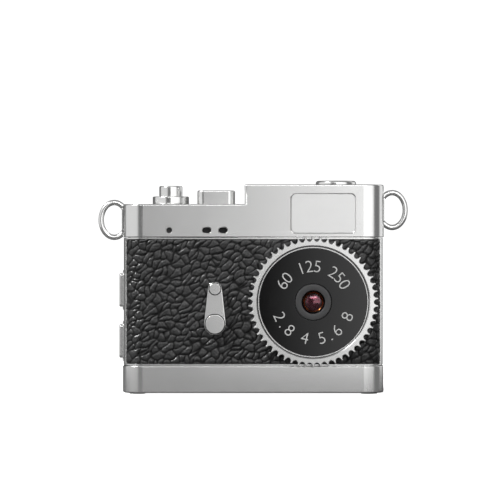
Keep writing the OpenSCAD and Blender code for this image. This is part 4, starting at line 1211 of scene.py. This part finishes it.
class Keys(bpy.types.Operator):
    """Makes the shutter button with its collar, the mode key, the power button and the side keys"""
    bl_idname = "minicam.keys"
    bl_label = "Buttons and keys"

    def execute(self, context):
        keys = context.scene.minicam_keys
        soft, bright = keys.soft / MM, finish_for("plated_key")
        button, collar = Span("shutter_button"), Span("shutter_collar")
        mode, power = Span("mode_key"), Span("power_button")
        high_deck = Span("top_cover").high.z
        deck = high_deck - context.scene.minicam_cover.step_rise / MM
        flange, radius = deck - FLANGE_UNDER, button.size.x / 2 - BUTTON_FLANGE
        centre = (button.mid.x, 0, 0)
        bm = turned(round_key(button, flange, radius), centre, Z, soft, 5)
        set_down(bm, "plated_shutter_button", "shutter", bright, ["shutter_button"])

        plug_wall = 0.5
        rim, bore, plug = collar.size.x / 2, radius + GAP, radius + GAP + plug_wall
        profile = [(bore, collar.low.z), (plug, collar.low.z), (plug, deck), (rim, deck),
                   (rim, collar.high.z), (bore, collar.high.z)]
        bm = turned(profile, centre, Z, 0.22, 5)
        set_down(bm, "turned_shutter_collar", CASE, finish_for("turned_metal"),
                 ["shutter_collar"])

        half_w, half_d = MODE_SIZE[0] / 2, MODE_SIZE[1] / 2
        x, under, corner = mode.mid.x, flange - FLANGE_THICK, keys.mode_corner / MM
        cap = rounded_block((x - half_w, -half_d, under), (x + half_w, half_d, mode.high.z), Z, corner,
                            (0, soft))
        foot = rounded_block((mode.low.x, mode.low.y, under), (mode.high.x, mode.high.y, flange), Z, corner)
        stem = rod((x, 0, mode.low.z), (x, 0, under + GAP), STEM_R)
        set_down(carve(cap, [foot, stem], "UNION"), "plated_mode_key", "mode", bright,
                 ["mode_key"])

        spring = Span("shutter_spring")
        coil = softened("shutter_spring", "steel_shutter_spring", "steel", 0)
        foot = (spring.mid * MM).to_tuple()[:2] + (spring.low.z * MM,)
        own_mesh(coil)

        profile = round_key(power, high_deck - FLANGE_UNDER, POWER_R, keys.power_chamfer / MM)
        bm = turned(profile, (power.mid.x, 0, 0), Z, 0.08, crease=40)
        set_down(bm, "plated_power_button", "power", bright, ["power_button"])

        corner = 0.5
        inner = Vector((0, corner, corner))
        for place in ("upper", "lower"):
            node = f"{place}_side_key"
            key = Span(node)
            cap = rounded_block(key.low + inner, key.high - inner, X, corner, (soft, 0))
            foot = rounded_block((key.high.x - FLANGE_THICK, key.low.y, key.low.z), key.high, X, corner)
            set_down(carve(cap, [foot], "UNION"), f"plated_{node}", f"{place}_key", bright,
                     [node])
        return {"FINISHED"}


def oval_loop(centre, across, rise, section):
    """An upright loop of round section, made as a wide round one and then drawn to its oval."""
    spun_r = 10.0
    bm = bmesh.new()
    bmesh.ops.create_circle(bm, segments=20, radius=section / 2, cap_ends=False)
    start = Matrix.Translation((spun_r, 0, 0)) @ Matrix.Rotation(math.pi / 2, 4, "X")
    bmesh.ops.transform(bm, matrix=start, verts=bm.verts)
    bmesh.ops.spin(bm, geom=bm.verts[:] + bm.edges[:], cent=(0, 0, 0), axis=(0, 0, 1), angle=math.tau,
                   steps=96, use_merge=True, use_duplicate=False)
    for vert in bm.verts:
        far = math.hypot(vert.co.x, vert.co.y)
        c, s = vert.co.x / far, vert.co.y / far
        slope = Vector((c * rise, 0, s * across)).normalized()
        vert.co = centre + Vector((across * c, vert.co.z, rise * s)) + slope * (far - spun_r)
    bmesh.ops.recalc_face_normals(bm, faces=bm.faces)
    return bm


def mirrored_block(sign, inner, outer, half_y, low_z, high_z, corner=0):
    """A block between two distances from the middle, on the side that the sign gives."""
    start, end = sorted((sign * inner, sign * outer))
    low, high = (start, -half_y, low_z), (end, half_y, high_z)
    return rounded_block(low, high, X, corner) if corner else block(low, high)


class StrapLoops(bpy.types.Operator):
    """Makes the cast strap loops, round in section, with thick roots on the cover's sides"""
    bl_idname = "minicam.strap_loops"
    bl_label = "Strap loops"

    def execute(self, context):
        section = context.scene.minicam_keys.loop_section / MM
        side = Span("top_cover").high.x
        root, head_start = side - BAR_IN, side - context.scene.minicam_cover.wall / MM
        for place, sign in (("left", -1), ("right", 1)):
            node = f"strap_loop_{place}"
            loop = Span(node)
            across, rise = LOOP_HALF_WIDE - section / 2, loop.size.z / 2 - section / 2
            reach, z = (loop.high.x if sign > 0 else -loop.low.x), loop.mid.z
            centre = Vector((sign * (reach - LOOP_HALF_WIDE), 0, z))
            trim = mirrored_block(sign, 0, root, DEEP, loop.low.z - PAST, loop.high.z + PAST)
            bar = mirrored_block(sign, root, side + BAR_OUT, section / 2 + GAP, z - BAR_HALF, z + BAR_HALF,
                                 BAR_CORNER)
            tenon = mirrored_block(sign, head_start, root + 0.05, TENON_HALF / 2, z - TENON_HALF,
                                   z + TENON_HALF)
            head = mirrored_block(sign, head_start - HEAD_THICK, head_start, TENON_HALF, z - HEAD_DOWN,
                                  z + HEAD_UP)
            bm = carve(oval_loop(centre, across, rise, section), [trim])
            bm = carve(bm, [bar, tenon, head], "UNION")
            set_down(bm, f"cast_{node}", CASE, finish_for("plated_cover"), [node], crease=45)
        return {"FINISHED"}


# Small CAD parts that are copied with softened edges: node, material slot, name of the piece, width
SOFTENED = (
    ("base_screws", "steel", "steel_base_screws", 0.05), ("feet", "pad", "silicone_feet", 0.06),
    ("usb_port", "steel", "steel_usb_port", 0.04), ("lever_pin", "steel", "steel_lever_pin", 0.04),
)


class SmallParts(bpy.types.Operator):
    """Makes the finder plate and the display's glass, and softens the screws, feet and socket"""
    bl_idname = "minicam.small_parts"
    bl_label = "Small outer parts"

    def execute(self, context):
        plate = Span("viewfinder_plate")
        bm = rounded_block(plate.low, plate.high, Y, FINDER_CORNER, (0.12, 0))
        set_down(bm, "plated_finder_plate", CASE, finish_for("finder"), ["viewfinder_plate"])
        window = Span("display_window")
        bm = rounded_block(window.low, window.high, Y, WINDOW_CORNER, (0, 0.15))
        set_down(bm, "rear_display_glass", CASE, finish_for("window"), ["display_window"])
        for node, slot, name, width in SOFTENED:
            softened(node, name, slot, width)
        return {"FINISHED"}


class DressFrame(bpy.types.Operator):
    """Gives every CAD part its procedural finish"""
    bl_idname = "minicam.dress_frame"
    bl_label = "Finish the frame"

    def execute(self, context):
        for part in frame["record"]["subparts"]:
            node = frame["nodes"][part["node"]]
            node.data.materials.clear()
            node.data.materials.append(finish_for(part["material_slot"]).material)
        return {"FINISHED"}


# Brightness of the studio's walls against the angle from the camera's side, in degrees to the right
STUDIO_WALLS = (
    (-180, 0.08), (-120, 0.08), (-112, 0.42), (-34, 0.42), (-26, 0.07), (-3, 0.1), (0.6, 0.0),
    (2.0, 0.88), (6, 0.88), (56, 0.66), (66, 0.1), (102, 0.1), (108, 0.5), (140, 0.5), (148, 0.06),
    (180, 0.06),
)
# Where the ceiling and the lamp lie on a sphere of radius 1, and how bright they are
CEILING_FROM, CEILING_LEVEL = (0.55, 0.8), 0.18
SOFTBOX_LOW, SOFTBOX_HIGH, SOFTBOX_SIDE, SOFTBOX_LEVEL = 0.36, 0.54, 0.36, 5.0
BACKDROP_LEVEL = 1.1
KEY_FROM = (-0.62, -0.3, 0.72)
FLOOR_WIDE = 0.3


class Stage(bpy.types.Operator):
    """Sets up the pale floor, the soft studio and the camera"""
    bl_idname = "minicam.stage"
    bl_label = "Studio and camera"

    def execute(self, context):
        look, scene = context.scene.minicam_stage, context.scene
        scene.view_settings.view_transform = "Standard"
        scene.world = bpy.data.worlds.new("Studio")
        scene.world.use_nodes = True
        sky = NodeTree(scene.world.node_tree)
        where = sky.node("ShaderNodeTexCoord", output="Generated")
        x, y, z = (sky.split(where, axis) for axis in (X, Y, Z))
        turn = sky.node("ShaderNodeMath", {"operation": "ARCTAN2"}, {0: x, 1: 0 - y}) / math.tau + 0.5
        stops = [((angle + 180) / 360, level) for angle, level in STUDIO_WALLS]
        walls = sky.node("ShaderNodeValToRGB", {"stops": stops}, {0: turn})
        low, high, side = SOFTBOX_LOW, SOFTBOX_HIGH, SOFTBOX_SIDE
        fade_z, fade_x = 0.04, 0.06
        softbox = (sky.spread(z, low, low + fade_z) * sky.spread(z, high, high - fade_z)
                   * sky.spread(x, -side, fade_x - side) * sky.spread(x, side, side - fade_x) * (y < 0))
        light = sky.blend(sky.spread(z, *CEILING_FROM), walls, (CEILING_LEVEL,) * 3)
        glow = sky.node("ShaderNodeBackground", None, {0: light, 1: look.studio})
        lamp = sky.node("ShaderNodeBackground", None, {0: (1, 1, 1), 1: softbox * SOFTBOX_LEVEL})
        both = sky.node("ShaderNodeAddShader", None, {0: glow, 1: lamp})
        plain = sky.node("ShaderNodeBackground", None, {0: (1, 1, 1), 1: BACKDROP_LEVEL})
        seen = sky.node("ShaderNodeLightPath", output="Is Camera Ray")
        mixed = sky.node("ShaderNodeMixShader", None, {0: seen, 1: both, 2: plain})
        sky.tree.links.new(mixed.socket, sky.tree.nodes["World Output"].inputs["Surface"])

        sun = bpy.data.lights.new("Key light", "SUN")
        sun.energy, sun.angle = look.key, math.radians(8)
        key = bpy.data.objects.new("Key light", sun)
        key.rotation_euler = Vector(KEY_FROM).to_track_quat("Z", "Y").to_euler()
        scene.collection.objects.link(key)

        bpy.ops.mesh.primitive_plane_add(size=FLOOR_WIDE, location=(0, 0, Span("feet").low.z * MM))
        floor = context.object
        floor.name = "studio_floor"
        cloth = Finish("pale_floor", Base_Color=tuple(look.floor), Roughness=0.8, Emission_Strength=1.0)
        direct = cloth.node("ShaderNodeLightPath", output="Is Camera Ray")
        cloth.feed(Emission_Color=cloth.blend(direct, (0.0, 0.0, 0.0), (1.0, 1.0, 1.0)),
                   Base_Color=cloth.blend(direct, (0.1, 0.1, 0.1), tuple(look.floor)))
        floor.data.materials.append(cloth.material)

        view = bpy.data.cameras.new("View")
        view.lens = view.sensor_width * look.away / look.wide
        view.clip_start, view.clip_end = 0.01, 50
        camera = bpy.data.objects.new("View", view)
        camera.location = (look.aside, Span("top_cover").low.y * MM - look.away, look.height)
        camera.rotation_euler = (math.pi / 2, 0, 0)
        scene.collection.objects.link(camera)
        scene.camera = camera
        return {"FINISHED"}


OPERATORS = (
    DressFrame, Covers, Shells, Leatherette, ToothedRing, LensPanel, Lens, Lever, Keys, StrapLoops,
    SmallParts, Stage,
)


class Panel(bpy.types.Panel):
    """Lists the pieces and their sizes"""
    bl_idname = "VIEW3D_PT_minicam"
    bl_label = "Miniature camera"
    bl_space_type = "VIEW_3D"
    bl_region_type = "UI"
    bl_category = "Mini Camera"

    def draw(self, context):
        for step in OPERATORS:
            self.layout.operator(step.bl_idname)
        for name in SETTINGS:
            group = getattr(context.scene, name)
            box = self.layout.box()
            for item in group.bl_rna.properties:
                if item.identifier not in ("rna_type", "name"):
                    box.prop(group, item.identifier)


def register():
    for made in (*SETTINGS.values(), *OPERATORS, Panel):
        bpy.utils.register_class(made)
    for name, group in SETTINGS.items():
        setattr(bpy.types.Scene, name, PointerProperty(type=group))


def unregister():
    for name in SETTINGS:
        delattr(bpy.types.Scene, name)
    for made in reversed((*SETTINGS.values(), *OPERATORS, Panel)):
        bpy.utils.unregister_class(made)


def main():
    register()
    for step in OPERATORS:
        group, name = step.bl_idname.split(".")
        if getattr(getattr(bpy.ops, group), name)() != {"FINISHED"}:
            raise RuntimeError(f"{step.bl_label} didn't finish")


if __name__ == "__main__":
    main()
